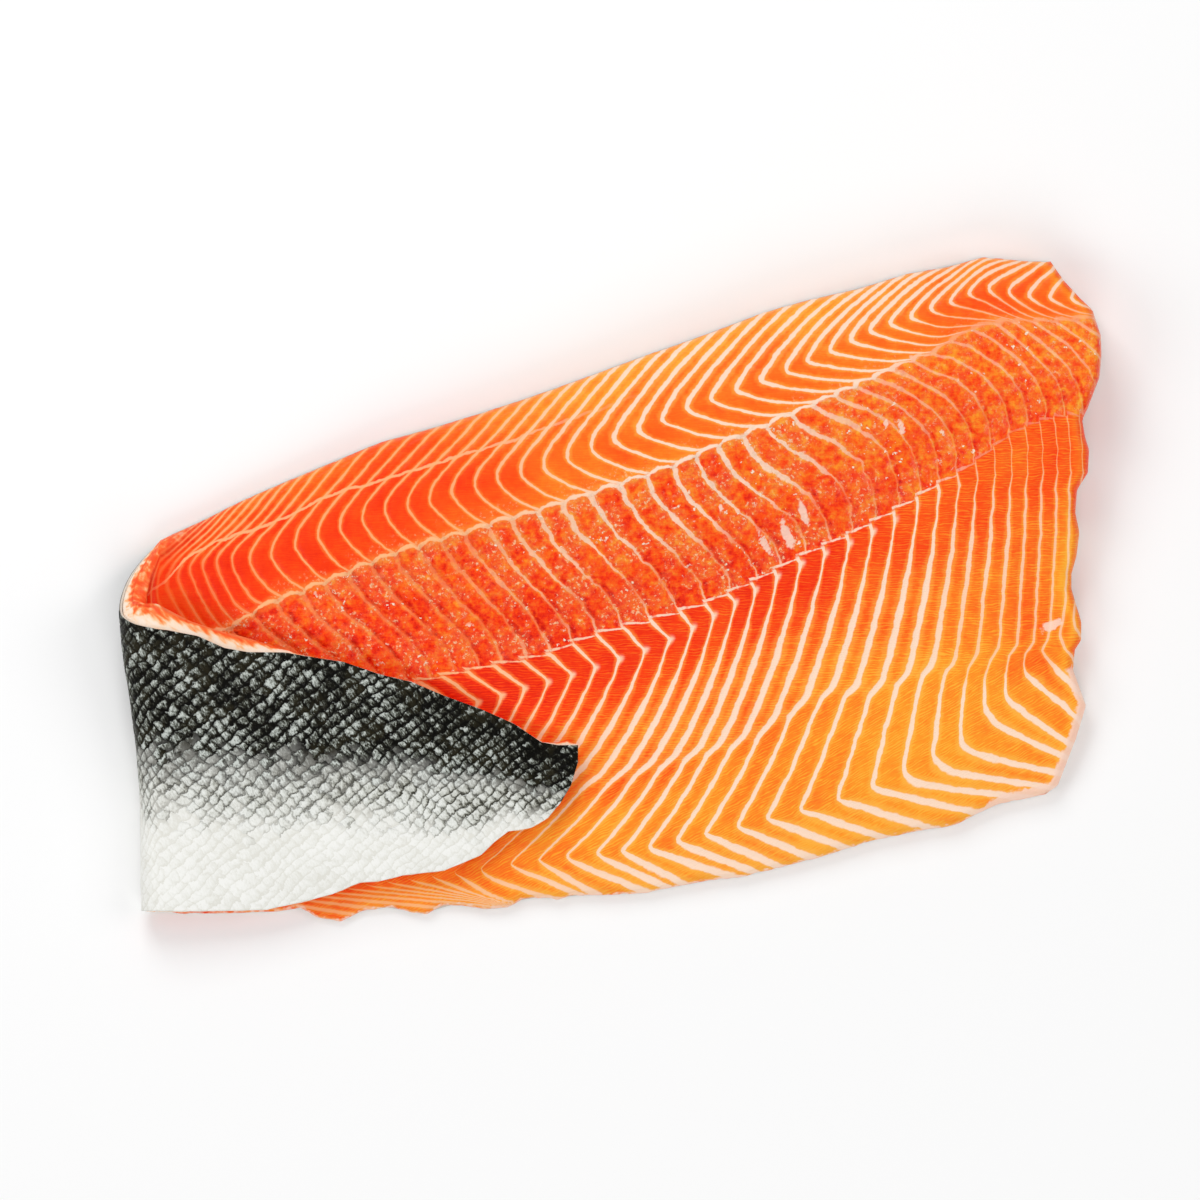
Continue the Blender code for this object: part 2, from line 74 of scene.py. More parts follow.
# Outlines seen from above
BACK_EDGE = [(-162.7, 17.3), (-159.8, 18.7), (-145.4, 25.2), (-139.0, 28.8), (-125.6, 34.9),
             (-112.0, 40.7), (-83.2, 52.6), (-63.7, 58.0), (-47.2, 63.0), (-31.7, 68.0),
             (-11.2, 75.2), (10.4, 83.2), (34.2, 91.4), (55.4, 99.5), (71.6, 104.0),
             (89.6, 108.0), (106.9, 113.4), (120.6, 115.6), (133.9, 119.3), (149.8, 117.9),
             (158.4, 117.7)]
CUT_END = [(158.4, 117.7), (163.1, 110.9), (169.0, 104.4), (173.2, 100.4), (176.2, 91.1),
           (176.4, 83.9), (175.7, 76.0), (171.4, 64.8), (169.6, 60.8), (170.6, 54.7),
           (172.1, 50.0), (171.7, 41.8), (167.8, 35.6), (167.3, 27.4), (168.8, 20.2),
           (167.8, 11.9), (166.0, 5.4), (166.0, 0.0), (169.6, -11.9), (169.6, -18.4),
           (167.3, -22.0), (166.7, -29.2), (171.4, -42.1), (167.8, -54.0), (161.3, -70.9),
           (157.0, -73.8)]
BELLY_EDGE = [(157.0, -73.8), (140.4, -77.4), (133.9, -80.3), (123.7, -85.3), (111.2, -87.1),
              (94.0, -90.7), (74.9, -96.8), (61.9, -100.1), (46.4, -104.0), (36.0, -104.8),
              (13.3, -109.4), (1.1, -110.2), (-14.8, -110.5), (-19.4, -112.0), (-23.8, -111.2),
              (-31.7, -111.6), (-37.4, -114.8), (-45.0, -115.6), (-53.6, -114.1),
              (-61.2, -114.1), (-67.0, -117.4), (-70.6, -117.0), (-78.8, -114.8),
              (-89.6, -115.9), (-97.9, -119.9), (-106.2, -118.4), (-112.3, -114.8),
              (-120.6, -116.3), (-136.1, -117.0), (-155.2, -117.0), (-162.7, -116.3)]
FLAP_BACK = [(-162.7, -5.4), (-160.2, -6.8), (-151.2, -11.5), (-142.2, -14.6), (-133.2, -16.9),
             (-124.2, -19.6), (-115.2, -22.3), (-109.8, -24.7), (-95.8, -27.1), (-83.5, -31.5),
             (-71.6, -34.3), (-59.8, -39.4), (-46.8, -44.1), (-34.7, -49.5), (-25.2, -55.6),
             (-19.8, -55.4), (-14.8, -54.2), (-12.6, -56.5)]
FLAP_SKIN_BACK = [(-162.7, -14.4), (-158.8, -14.8), (-148.1, -16.9), (-138.6, -21.2),
                  (-130.3, -22.7), (-117.0, -22.8), (-109.8, -24.1), (-95.8, -26.3),
                  (-83.5, -30.6), (-71.6, -33.5), (-59.8, -38.5), (-46.8, -43.2),
                  (-34.7, -48.6), (-25.2, -55.1), (-19.1, -56.2), (-11.9, -56.2)]
FLAP_LOW = [(-11.9, -56.2), (-11.9, -62.3), (-14.4, -70.6), (-18.0, -76.7), (-22.7, -82.4),
            (-28.8, -86.0), (-37.1, -87.3), (-41.8, -90.9), (-46.8, -95.8), (-55.1, -99.4),
            (-60.8, -101.5), (-74.2, -103.0), (-82.4, -105.1), (-90.7, -105.8),
            (-100.4, -110.0), (-112.3, -113.0), (-124.2, -115.6), (-136.1, -115.9),
            (-155.2, -116.1), (-162.7, -115.9)]
TIP_EDGE = [(-82.4, -22.7), (-76.7, -18.0), (-70.6, -14.4), (-62.3, -11.9), (-56.2, -11.9)]
FLESH_BEND_BACK = [(0.0, 17.3), (0.25, 6.8), (0.5, -2.9), (0.75, -4.9), (1.0, -5.4)]
SKIN_BEND_BACK = [(0.0, 17.8), (0.25, 6.1), (0.5, -6.5), (0.75, -11.9), (1.0, -14.4)]
SKIN_OVERHANG = 0.5

# Lines that the flakes turn at, from back to belly
LINE_SEAM = [(-170.0, -2.0), (-160.0, 3.6), (-153.0, 11.2), (-146.5, 14.8), (-135.0, 19.4),
             (-118.8, 25.2), (-100.0, 34.2), (-82.3, 39.2), (-57.6, 46.8), (-36.7, 53.3),
             (-12.6, 61.6), (8.0, 68.8), (24.0, 76.0), (60.0, 88.0), (180.0, 112.0)]
LINE_CREST = [(-184.0, -4.0), (-166.0, 3.2), (-153.4, 9.0), (-137.9, 10.8), (-124.1, 12.2),
              (-106.7, 19.8), (-90.9, 25.2), (-74.8, 30.2), (-58.1, 34.9), (-42.7, 39.2),
              (-26.0, 43.7), (-8.9, 49.7), (9.8, 56.5), (26.2, 64.1), (43.6, 70.6),
              (61.9, 77.8), (77.6, 85.0), (92.4, 92.2), (107.9, 97.6), (120.7, 102.6),
              (134.4, 107.3), (149.3, 104.8), (161.6, 104.0), (179.6, 102.6)]
LINE_UPPER = [(-184.0, -32.8), (-166.0, -23.8), (-155.2, -18.4), (-136.8, -13.7), (-123.5, -5.4),
              (-107.6, 0.7), (-90.7, 7.7), (-74.9, 13.7), (-56.2, 19.1), (-34.9, 25.7),
              (-16.9, 31.0), (2.3, 37.4), (20.9, 43.9), (38.9, 51.8), (55.4, 58.7),
              (71.6, 65.9), (90.7, 74.2), (105.1, 81.0), (115.9, 85.3), (125.5, 91.1),
              (136.8, 95.4), (155.2, 95.8), (164.2, 96.5), (179.6, 98.6)]
LINE_LOWER = [(-184.0, -61.6), (-112.0, -44.3), (-67.7, -32.8), (-43.2, -27.4), (-25.9, -23.8),
              (-5.4, -16.2), (15.8, -10.4), (34.2, -4.7), (51.5, 3.2), (68.4, 12.2),
              (85.0, 19.8), (100.4, 27.7), (115.9, 37.1), (130.7, 45.9), (142.9, 55.4),
              (155.2, 60.8), (179.6, 63.0)]
LINE_BEND = [(-184.0, -68.8), (-112.0, -52.6), (-67.7, -43.6), (-49.0, -41.0), (-29.9, -35.3),
             (-15.5, -31.3), (2.9, -25.2), (21.6, -18.0), (37.8, -9.0), (51.8, -0.4),
             (68.8, 9.5), (86.0, 16.6), (101.9, 24.8), (118.4, 34.6), (132.1, 42.1),
             (149.4, 51.8), (159.1, 52.2), (179.6, 54.4)]
LINE_KINK = [(-60.0, -78.0), (0.0, -68.0), (29.0, -59.8), (47.5, -54.4), (79.0, -37.1),
             (93.2, -36.4), (114.0, -29.2), (123.0, -28.1), (137.5, -24.8), (180.0, -16.0)]
LINE_BELLY = [(-184.0, -113.8), (-112.0, -109.4), (-69.5, -103.7), (-56.2, -102.2),
              (-37.4, -99.4), (-17.3, -96.5), (3.4, -94.7), (23.9, -90.7), (44.8, -85.7),
              (67.3, -79.9), (92.9, -71.6), (103.7, -66.6), (115.6, -60.1), (126.0, -52.2),
              (134.6, -41.0), (143.3, -36.7), (150.5, -26.1), (158.0, -18.4), (179.6, 10.4)]

# How far along a flake runs between two of those lines
RUN_CREST_BACK = [(-184.0, 21.6), (-112.0, 23.8), (-58.0, 27.0), (-4.0, 28.1), (68.0, 28.1),
                  (89.6, 25.9), (120.6, 22.7), (140.0, 14.4), (179.6, 14.4)]
RUN_CREST_UPPER = [(-184.0, 14.4), (-58.0, 15.1), (-25.6, 19.8), (10.4, 27.0), (104.0, 28.1),
                   (132.8, 21.6), (179.6, 18.0)]
RUN_UPPER_LOWER = [(-184.0, 28.8), (-44.6, 30.4), (32.0, 31.0), (101.0, 29.9), (140.0, 25.2),
                   (179.6, 21.6)]
RUN_BEND_BELLY = [(-90.0, -58.0), (-47.2, -58.7), (12.2, -59.6), (29.5, -56.3), (51.8, -48.4),
                  (77.8, -42.8), (101.9, -34.6), (124.9, -21.2), (144.4, -9.7), (179.6, -2.9)]
RUN_LOWER_BEND = [(-184.0, 15.0), (-60.0, 14.0), (-39.0, 13.0), (-22.0, 9.8), (-4.0, 8.5),
                  (10.0, 8.3), (21.0, 7.2), (29.5, 5.0), (38.0, 3.8), (46.0, 2.6), (70.0, 1.4),
                  (110.0, 1.0), (180.0, 1.0)]
JOG = 3.4
SEAM_JOG = 3.6

# Lines below the belly line: their early fall, mm, and their even slope
LEG_FALL = [(-184.0, 0.5), (-68.0, 0.3), (-54.0, 0.2), (-46.5, 2.8), (-37.0, 0.2), (-27.0, 0.1),
            (-17.5, 1.2), (-8.0, 0.2), (4.0, 0.3), (15.0, 1.0), (25.0, 0.3), (45.0, 0.1),
            (80.0, 0.2), (93.0, 0.9), (104.0, 4.0), (115.0, 5.0), (126.0, 6.2), (135.0, 5.2),
            (143.0, 1.8), (150.0, 1.0), (180.0, 0.5)]
LEG_SLOPE = [(-184.0, 0.4), (-68.0, 0.36), (-54.0, 0.62), (-46.5, 0.3), (-37.0, 0.42),
             (-27.0, 0.58), (-17.5, 0.42), (-8.0, 0.44), (4.0, 0.52), (15.0, 0.32),
             (25.0, 0.4), (34.0, 0.44), (45.0, 0.41), (67.0, 0.34), (80.0, 0.31), (93.0, 0.24),
             (104.0, 0.12), (115.0, 0.16), (126.0, 0.22), (135.0, 0.48), (143.0, 0.72),
             (150.0, 0.87), (158.0, 1.2), (180.0, 1.4)]

# Flake number against distance along, one curve for each of the three bands
COUNT_BACK = [(-184.0, 46.0), (-153.4, 39.0), (-137.9, 36.0), (-106.7, 32.0), (-74.8, 28.0),
              (-42.7, 24.0), (-8.9, 20.0), (26.2, 16.0), (61.9, 12.0), (92.4, 8.0),
              (120.7, 4.0), (149.3, 0.0), (180.0, -4.0)]
COUNT_MIDDLE = [(-184.0, 38.5), (-60.7, 24.0), (-26.6, 20.0), (12.6, 16.0), (47.2, 12.0),
                (79.9, 8.0), (106.9, 4.0), (136.8, 0.0), (180.0, -6.0)]
COUNT_BELLY = [(-184.0, 45.5), (-39.2, 28.0), (-5.6, 24.0), (29.5, 20.0), (59.9, 16.0),
               (94.0, 12.0), (124.9, 8.0), (149.4, 4.0), (169.0, 0.0), (180.0, -3.0)]


# Shape functions

def ramp(knots, at):
    """Piecewise straight curve through the knots, read at each value of at."""
    table = np.array(knots, float)
    return np.interp(at, table[:, 0], table[:, 1])


def curve(knots, at):
    """Smooth cubic curve through the knots, its slopes the knots' own gradients."""
    table = np.array(knots, float)
    px, py = table[:, 0], table[:, 1]
    slope = np.gradient(py, px)
    k = np.clip(np.searchsorted(px, at) - 1, 0, len(px) - 2)
    step = px[k + 1] - px[k]
    t = np.clip((at - px[k]) / step, 0.0, 1.0)
    return ((2 * t ** 3 - 3 * t ** 2 + 1) * py[k] + (t ** 3 - 2 * t ** 2 + t) * step * slope[k]
            + (3 * t ** 2 - 2 * t ** 3) * py[k + 1] + (t ** 3 - t ** 2) * step * slope[k + 1])


def smooth(value):
    """Smooth step: 0 below 0, 1 above 1, and 3v^2 - 2v^3 between."""
    v = np.clip(value, 0.0, 1.0)
    return v * v * (3.0 - 2.0 * v)


def bell(value, width):
    """Bell curve exp(-(value / width)^2), 1 at value 0."""
    return np.exp(-(value / width) ** 2)


def ripple(x, y, seed):
    """Uneven wave between -1 and 1: lattice values from a sine hash, blended smoothly."""
    ix, iy = np.floor(x), np.floor(y)
    fx, fy = smooth(x - ix), smooth(y - iy)

    def knot(i, j):
        """Lattice value at (i, j), between -1 and 1."""
        spread = np.sin(i * 127.1 + j * 311.7 + seed * 74.7) * 43758.5453
        return 2.0 * (spread - np.floor(spread)) - 1.0

    low = knot(ix, iy) * (1 - fx) + knot(ix + 1, iy) * fx
    high = knot(ix, iy + 1) * (1 - fx) + knot(ix + 1, iy + 1) * fx
    return low * (1 - fy) + high * fy


def base_thickness(x, b):
    """Height of the flesh face: the greatest thickness there times the share across,
    blended into the fold's own thickness over the 60 mm next to the fold."""
    low = curve(BELLY_LINE, x)
    high = curve(BACK_LINE, x)
    full = curve(MAX_THICK, x) * curve(ACROSS_SHARE, (b - low) / (high - low))
    near = curve(FOLD_THICK, b)
    return near + (full - near) * smooth((x - FOLD_X) / 60.0)


def flap_thickness(x, b):
    """Thickness of the folded tail: the fold's thickness, easing to the tip's."""
    near = curve(FOLD_THICK, b)
    return near + (np.minimum(TIP_THICK, near) - near) * smooth((x - FOLD_X) / 150.0)


def flap_top(x, b):
    """Height of the skin's outer face on the folded tail: the flesh below, the
    opening that closes away from the fold as a bell curve, and its own thickness."""
    near = 2.0 * (curve(FOLD_RADIUS, b) - curve(FOLD_THICK, b))
    opening = FLAP_CLEAR + (near - FLAP_CLEAR) * bell(x - FOLD_X, FLAP_OPENING)
    return base_thickness(x, b) + opening + flap_thickness(x, b)


def sheet_thickness(a, b):
    """Thickness of the sheet before its edges are rounded."""
    flat = base_thickness(FOLD_X + np.maximum(a, 0.0), b)
    flap = flap_thickness(FOLD_X + np.maximum(-a - BEND_LENGTH, 0.0), b)
    return np.where(a > 0.0, flat, flap)


def place(a, b, h):
    """Sheet place (a, b) and height h over the skin's outer face, to x, y, z:
    flat for a above 0, a half turn round the fold axis, then back over itself."""
    radius = curve(FOLD_RADIUS, b)
    turn = np.clip(-a / BEND_LENGTH, 0.0, 1.0) * math.pi
    bend_x = FOLD_X - (radius - h) * np.sin(turn)
    bend_z = radius - (radius - h) * np.cos(turn)
    flap_x = FOLD_X + (-a - BEND_LENGTH)
    flap_z = flap_top(flap_x, b) - h
    x = np.where(a >= 0.0, FOLD_X + a, np.where(a > -BEND_LENGTH, bend_x, flap_x))
    z = np.where(a >= 0.0, h, np.where(a > -BEND_LENGTH, bend_z, flap_z))
    return np.stack([x, b, z], -1) * MM


def back_line(a, bend_knots, flap_knots, overhang):
    """Back edge of the sheet at a: flat part, bend and folded tail, joined end to end."""
    flat = ramp(BACK_EDGE, FOLD_X + a) + overhang
    bend = curve(bend_knots, np.clip(-a / BEND_LENGTH, 0.0, 1.0))
    flap = ramp(flap_knots, FOLD_X - a - BEND_LENGTH)
    return np.where(a > 0.0, flat, np.where(a > -BEND_LENGTH, bend, flap))


def belly_line(a):
    """Belly edge of the sheet at a, from the flat part to the folded tail."""
    flat = ramp(BELLY_EDGE[::-1], FOLD_X + a)
    flap = ramp(FLAP_LOW[::-1], np.minimum(FOLD_X - a - BEND_LENGTH, TIP_EDGE[0][1]))
    turn = np.clip(-a / BEND_LENGTH, 0.0, 1.0)
    bend = BELLY_EDGE[-1][1] * (1.0 - turn) + FLAP_LOW[-1][1] * turn
    return np.where(a > 0.0, flat, np.where(a > -BEND_LENGTH, bend, flap))


def sheet_grid(columns, rows, bend_knots, flap_knots, overhang):
    """Grid of sheet places: column shares run from tip to cut end, row shares from
    belly to back, and each row ends on the outline at both ends."""
    corner_low, corner_high = CUT_END[-1][1], CUT_END[0][1] + overhang
    end_b = corner_low + (corner_high - corner_low) * rows
    right = ramp([(y, x) for x, y in CUT_END[::-1]], end_b) - FOLD_X
    tip_low, tip_high = TIP_EDGE[0][0], TIP_EDGE[-1][0]
    tip_b = tip_low + (tip_high - tip_low) * rows
    left = -BEND_LENGTH - (ramp(TIP_EDGE, tip_b) - FOLD_X)
    a = left[None, :] + (right - left)[None, :] * columns[:, None]
    low = belly_line(a)
    high = back_line(a, bend_knots, flap_knots, overhang)
    b = low + (high - low) * rows[None, :]
    return a, b


# Flake lines

def way_between(y, line_a, line_b, x):
    """Share of the way from one line to the next at place (x, y)."""
    first, second = curve(line_a, x), curve(line_b, x)
    return (y - first) / (second - first)


def flake_number(count, x, shift):
    """Number of the flake at x: the count at the place x0 whose shifted line
    passes x, found by putting x0 = x - shift(x0) in six times."""
    x0 = x.copy()
    for _ in range(6):
        x0 = x - shift(x0)
    return curve(count, x0)


def soften(field, times):
    """Field averaged with its four grid neighbours, times over, so that its
    kinks turn into bends."""
    for _ in range(times):
        wide = np.pad(field, 1, mode="reflect", reflect_type="odd")
        sides = wide[:-2, 1:-1] + wide[2:, 1:-1] + wide[1:-1, :-2] + wide[1:-1, 2:]
        field = 0.5 * field + 0.125 * sides
    return field


def leg_drop(run, tip):
    """How far a line has dropped at a run to the right of its lowest turn: an
    early fall that levels off as 1 - exp(-run / 2.5), and an even slope."""
    return curve(LEG_FALL, tip) * (1.0 - np.exp(-run / 2.5)) + curve(LEG_SLOPE, tip) * run


def belly_turn(x, y):
    """For places below the belly line, the x of the turn that their line comes
    from, found by halving the stretch of 70 mm to the left of the place."""
    near, far = x - 70.0, x.copy()
    for _ in range(22):
        middle = 0.5 * (near + far)
        high = curve(LINE_BELLY, middle) - leg_drop(x - middle, middle) > y
        near, far = np.where(high, near, middle), np.where(high, middle, far)
    return np.where(y < curve(LINE_BELLY, x), 0.5 * (near + far), x)


def back_flakes(x, y):
    """Flake numbers of the back: a line starts on the crest and runs to the back
    edge as share ^ 1.35 and to the upper line as 1 - share ^ 0.75, with a jog
    where it crosses the seam."""
    up = np.clip(way_between(y, LINE_CREST, BACK_EDGE, x), 0.0, 1.4)
    down = np.clip(1.0 - way_between(y, LINE_CREST, LINE_UPPER, x), -0.3, 1.0)
    rounded = np.sign(down) * np.abs(down) ** 0.75
    seam = SEAM_JOG * smooth((y - curve(LINE_SEAM, x)) / 3.5 + 0.5) * smooth((20.0 - x) / 90.0)
    number = flake_number(COUNT_BACK, x, lambda q: curve(RUN_CREST_BACK, q) * up ** 1.35 + seam
                          + curve(RUN_CREST_UPPER, q) * (1.0 - rounded))
    left = smooth((60.0 - x) / 120.0)
    return soften(number, 3) * (1.0 - left) + soften(number, 36) * left


def middle_flakes(x, mid_way):
    """Flake numbers of the middle band: a line crosses it as an S, which becomes
    a finger, 1 - (1 - share) ^ 2.2, near the cut end."""
    finger = smooth((x - 40.0) / 60.0)
    lean = (0.4 * mid_way + 0.6 * smooth(mid_way)) * (1.0 - finger)
    lean += (1.0 - np.clip(1.0 - mid_way, 0.0, 1.3) ** 2.2) * finger
    return flake_number(COUNT_MIDDLE, x, lambda q: curve(RUN_UPPER_LOWER, q) * lean) + 2.0


def belly_flakes(x, y, bow, above):
    """Flake numbers of the belly: a line leans more and more towards the belly,
    as half share and half share squared, jogs at the kink line, and follows its
    leg below the belly line."""
    fall = np.clip(bow, 0.0, 1.0)
    jog = JOG * (smooth(0.5 - (y - curve(LINE_KINK, x)) / 5.0) - fall) * smooth((x + 50.0) / 60.0)
    jog = np.where(bow >= 1.0, 0.0, jog)
    number = flake_number(COUNT_BELLY, belly_turn(x, y), lambda q: curve(RUN_BEND_BELLY, q)
                          * (0.5 * fall + 0.5 * fall ** 2) - jog - curve(RUN_LOWER_BEND, q) * above)
    corner = smooth((x - 95.0) / 40.0)
    return soften(number, 2) * (1.0 - corner) + soften(number, 12) * corner


def steepness(field, x, y):
    """Length of the field's gradient over the surface, per millimetre, from
    differences between neighbours on the grid; capped where a line turns sharply."""
    fi, fj = np.gradient(field)
    xi, xj = np.gradient(x)
    yi, yj = np.gradient(y)
    area = xi * yj - xj * yi
    area = np.where(np.abs(area) < 1e-6, 1e-6, area)
    gx = (fi * yj - fj * yi) / area
    gy = (fj * xi - fi * xj) / area
    return np.clip(np.hypot(gx, gy), 0.05, 0.42)


# Meshes

def put_mesh(name, points, faces, layers):
    """Mesh object from corner places and faces, with its layers as point values."""
    mesh = bpy.data.meshes.new(name)
    mesh.from_pydata(points, [], faces)
    for layer, values in layers.items():
        data = mesh.attributes.new(layer, "FLOAT_VECTOR", "POINT")
        data.data.foreach_set("vector", np.ascontiguousarray(values, dtype=np.float32).ravel())
    mesh.polygons.foreach_set("use_smooth", np.ones(len(mesh.polygons), bool))
    mesh.update()
    piece = bpy.data.objects.new(name, mesh)
    bpy.context.scene.collection.objects.link(piece)
    return piece


def rim_order(rows, columns):
    """Grid numbers along the rim of a rows by columns grid, counter-clockwise
    seen from above when columns run along +a and rows along +b."""
    last_i, last_j = rows - 1, columns - 1
    return np.concatenate([np.arange(0, last_i) * columns,
                           last_i * columns + np.arange(0, last_j),
                           np.arange(last_i, 0, -1) * columns + last_j,
                           np.arange(last_j, 0, -1)])


def joined_blocks(ni, nj):
    """For each corner of a grid, the corner that stands for it: the middle of its
    block of 2 by 8 corners inside, and itself on the rim."""
    block_i = np.clip(np.minimum(np.arange(ni) // 2 * 2 + 1, ni - 2), 1, None)
    block_j = np.clip(np.minimum(np.arange(nj) // 8 * 8 + 4, nj - 5), 1, None)
    gi, gj = np.meshgrid(np.arange(ni), np.arange(nj), indexing="ij")
    on_rim = (gi == 0) | (gi == ni - 1) | (gj == 0) | (gj == nj - 1)
    return np.where(on_rim, gi, block_i[:, None]) * nj + np.where(on_rim, gj, block_j[None, :])


def closed_sheet(name, top, bottom, walls, layers):
    """Closed surface from a fine top grid, a bottom grid of the same size and the
    wall rows between their rims.

    The bottom is joined in blocks, so that it has few faces inside while its rim
    still meets every corner of the wall.
    """
    ni, nj = top.shape[:2]
    number = np.arange(ni * nj).reshape(ni, nj)
    quads = np.stack([number[:-1, :-1], number[1:, :-1], number[1:, 1:], number[:-1, 1:]], -1)
    faces = [quads.reshape(-1, 4)]
    rim = rim_order(ni, nj)
    wall_rows, count = walls.shape[0], len(rim)
    low = ni * nj + wall_rows * count + joined_blocks(ni, nj)
    rings = [rim] + [ni * nj + row * count + np.arange(count) for row in range(wall_rows)]
    rings.append(low.ravel()[rim])
    for near, far in zip(rings[:-1], rings[1:]):
        faces.append(np.stack([near, far, np.roll(far, -1), np.roll(near, -1)], -1))
    a, b = low[:-1, :-1].ravel(), low[1:, :-1].ravel()
    c, d = low[1:, 1:].ravel(), low[:-1, 1:].ravel()
    halves = np.concatenate([np.stack([a, c, b], -1), np.stack([a, d, c], -1)])
    good = (halves[:, 0] != halves[:, 1]) & (halves[:, 1] != halves[:, 2])
    faces.append(halves[good & (halves[:, 2] != halves[:, 0])])
    points = np.concatenate([top.reshape(-1, 3), walls.reshape(-1, 3), bottom.reshape(-1, 3)])
    used = np.zeros(len(points), bool)
    for part in faces:
        used[part.ravel()] = True
    renumber = np.cumsum(used) - 1
    listed = []
    for part in faces:
        listed.extend(renumber[part].tolist())
    kept = {layer: values[used] for layer, values in layers.items()}
    return put_mesh(name, points[used], listed, kept)


def share_steps(parts):
    """Shares from 0 to 1 made of runs: each run is (end share, number of steps)."""
    steps, start = [np.array([0.0])], 0.0
    for end, count in parts:
        steps.append(np.linspace(start, end, count + 1)[1:])
        start = end
    return np.concatenate(steps)


# Flesh

COLUMNS = share_steps([(0.05, 14), (0.27, 36), (0.29, 6), (0.36, 36), (0.42, 28), (1.0, 310)])
ROWS = share_steps([(0.012, 3), (0.988, 170), (1.0, 3)])
WALL_SHARES = [0.14, 0.3, 0.48, 0.66, 0.84]
UNDER_SHARE = 0.95

# Lumps of fat on the flesh: place, half width, half length and turn
FAT_LUMPS = [(55.3, 16.2, 1.3, 5.5, 2.1), (62.6, 20.5, 1.8, 5.0, 1.9), (69.2, 27.0, 1.5, 6.0, 1.9),
             (64.5, 17.2, 3.5, 1.6, 0.3), (104.0, 57.8, 3.0, 1.2, 0.3), (98.5, 59.2, 2.6, 0.9, 0.2),
             (158.6, -13.2, 2.0, 4.6, 0.4), (39.5, 29.0, 1.6, 0.8, 0.5)]


def flesh_fields():
    """What the flesh's shape and colours are worked out from, on its grid: places,
    distance to the outline, distances to the turning lines, flake numbers and
    their gradients, and the share of each band."""
    f = SimpleNamespace()
    f.a, f.b = sheet_grid(COLUMNS, ROWS, FLESH_BEND_BACK, FLAP_BACK, 0.0)
    f.x = np.where(f.a > 0.0, FOLD_X + f.a, FOLD_X + f.a * 0.6)
    f.high = back_line(f.a, FLESH_BEND_BACK, FLAP_BACK, 0.0)
    f.low = belly_line(f.a)
    f.to_cut = f.a[-1][None, :] - f.a
    f.rim_far = np.minimum(f.high - f.b, f.b - f.low) * 0.95
    f.rim_far = np.minimum(f.rim_far, np.minimum(f.to_cut, f.a - f.a[0][None, :]))
    for line, knots in (("upper", LINE_UPPER), ("lower", LINE_LOWER), ("crest", LINE_CREST),
                        ("seam", LINE_SEAM), ("kink", LINE_KINK), ("belly", LINE_BELLY),
                        ("bend", LINE_BEND)):
        setattr(f, "d_" + line, f.b - curve(knots, f.x))
    f.mid_way = np.clip(way_between(f.b, LINE_UPPER, LINE_LOWER, f.x), -0.2, 1.3)
    f.bow = np.where(f.d_belly < 0.0, 1.0, way_between(f.b, LINE_BEND, LINE_BELLY, f.x))
    f.above = np.clip(way_between(f.b, LINE_BEND, LINE_LOWER, f.x), 0.0, 1.5)
    f.back = back_flakes(f.x, f.b)
    f.middle = middle_flakes(f.x, f.mid_way)
    f.belly = belly_flakes(f.x, f.b, f.bow, f.above)
    f.rate_back, f.rate_middle, f.rate_belly = (
        steepness(number, f.x, f.b) for number in (f.back, f.middle, f.belly))
    f.in_back = smooth((f.d_upper + 0.6) / 1.2)
    f.in_belly = smooth((0.4 - f.d_lower) / 0.8)
    f.in_middle = (1.0 - f.in_back) * (1.0 - f.in_belly)
    f.flat = smooth(f.a / 8.0)
    f.left = smooth((20.0 - f.x) / 90.0)
    f.edge_part = smooth((f.x - 112.0) / 18.0) * (1.0 - smooth((-f.d_kink - 3.0) / 9.0))
    f.faint_part = f.edge_part * (1.0 - 0.65 * bell(f.x - 132.0, 16.0) * bell(f.b - 14.0, 24.0))
    f.thin_part = 0.45 * f.edge_part * smooth((f.b - 34.0) / 14.0)
    f.waves = ripple(f.x / 18.0, f.b / 14.0, 7)
    return f


def line_widths(f):
    """Half widths of the white lines in the back, the middle and the belly, mm.

    The back's are widest just above the crest, the middle's shrink across the
    band, and the belly's grow down from the bend and are thin past the kink.
    """
    back = 0.60 - 0.22 * f.left + 0.12 * smooth(f.d_crest / 8.0) * (1.0 - f.left)
    back -= 0.12 * smooth(-f.d_crest / 6.0) * (1.0 - f.left)
    back *= 1.0 + 0.30 * bell(f.d_crest - 1.5, 4.0) * (1.0 - f.left)
    back *= 1.0 - smooth((f.x - 90.0) / 30.0) * (0.22 + 0.30 * smooth(-f.d_crest / 4.0))
    middle = 0.78 - 0.40 * smooth((f.mid_way - 0.1) / 0.7)
    middle += 0.16 * ripple(f.x / 7.0, f.b / 7.0, 31)
    middle *= 1.0 - 0.35 * smooth((f.x - 80.0) / 40.0)
    grow = smooth((f.bow - 0.04) / 0.32)
    right = smooth((f.x - 110.0) / 50.0)
    belly = 0.36 + 0.74 * grow * smooth((f.x + 65.0) / 85.0) * (1.0 - 0.35 * right)
    belly -= 0.36 * grow * smooth(-f.d_kink / 3.0) * (1.0 - smooth(-f.d_belly / 4.0))
    belly += 0.22 * smooth(-f.d_belly / 8.0)
    belly += 0.26 * smooth(f.above / 0.8) + 0.26 * bell(f.d_bend + 0.4, 1.5)
    belly *= (1.0 - 0.50 * f.faint_part) * (1.0 - f.thin_part)
    return back, middle, belly


def off_line(number, rate):
    """Distance to the nearest flake line, mm: the number's distance to a whole
    number over its gradient."""
    return np.abs(number - np.round(number)) / rate


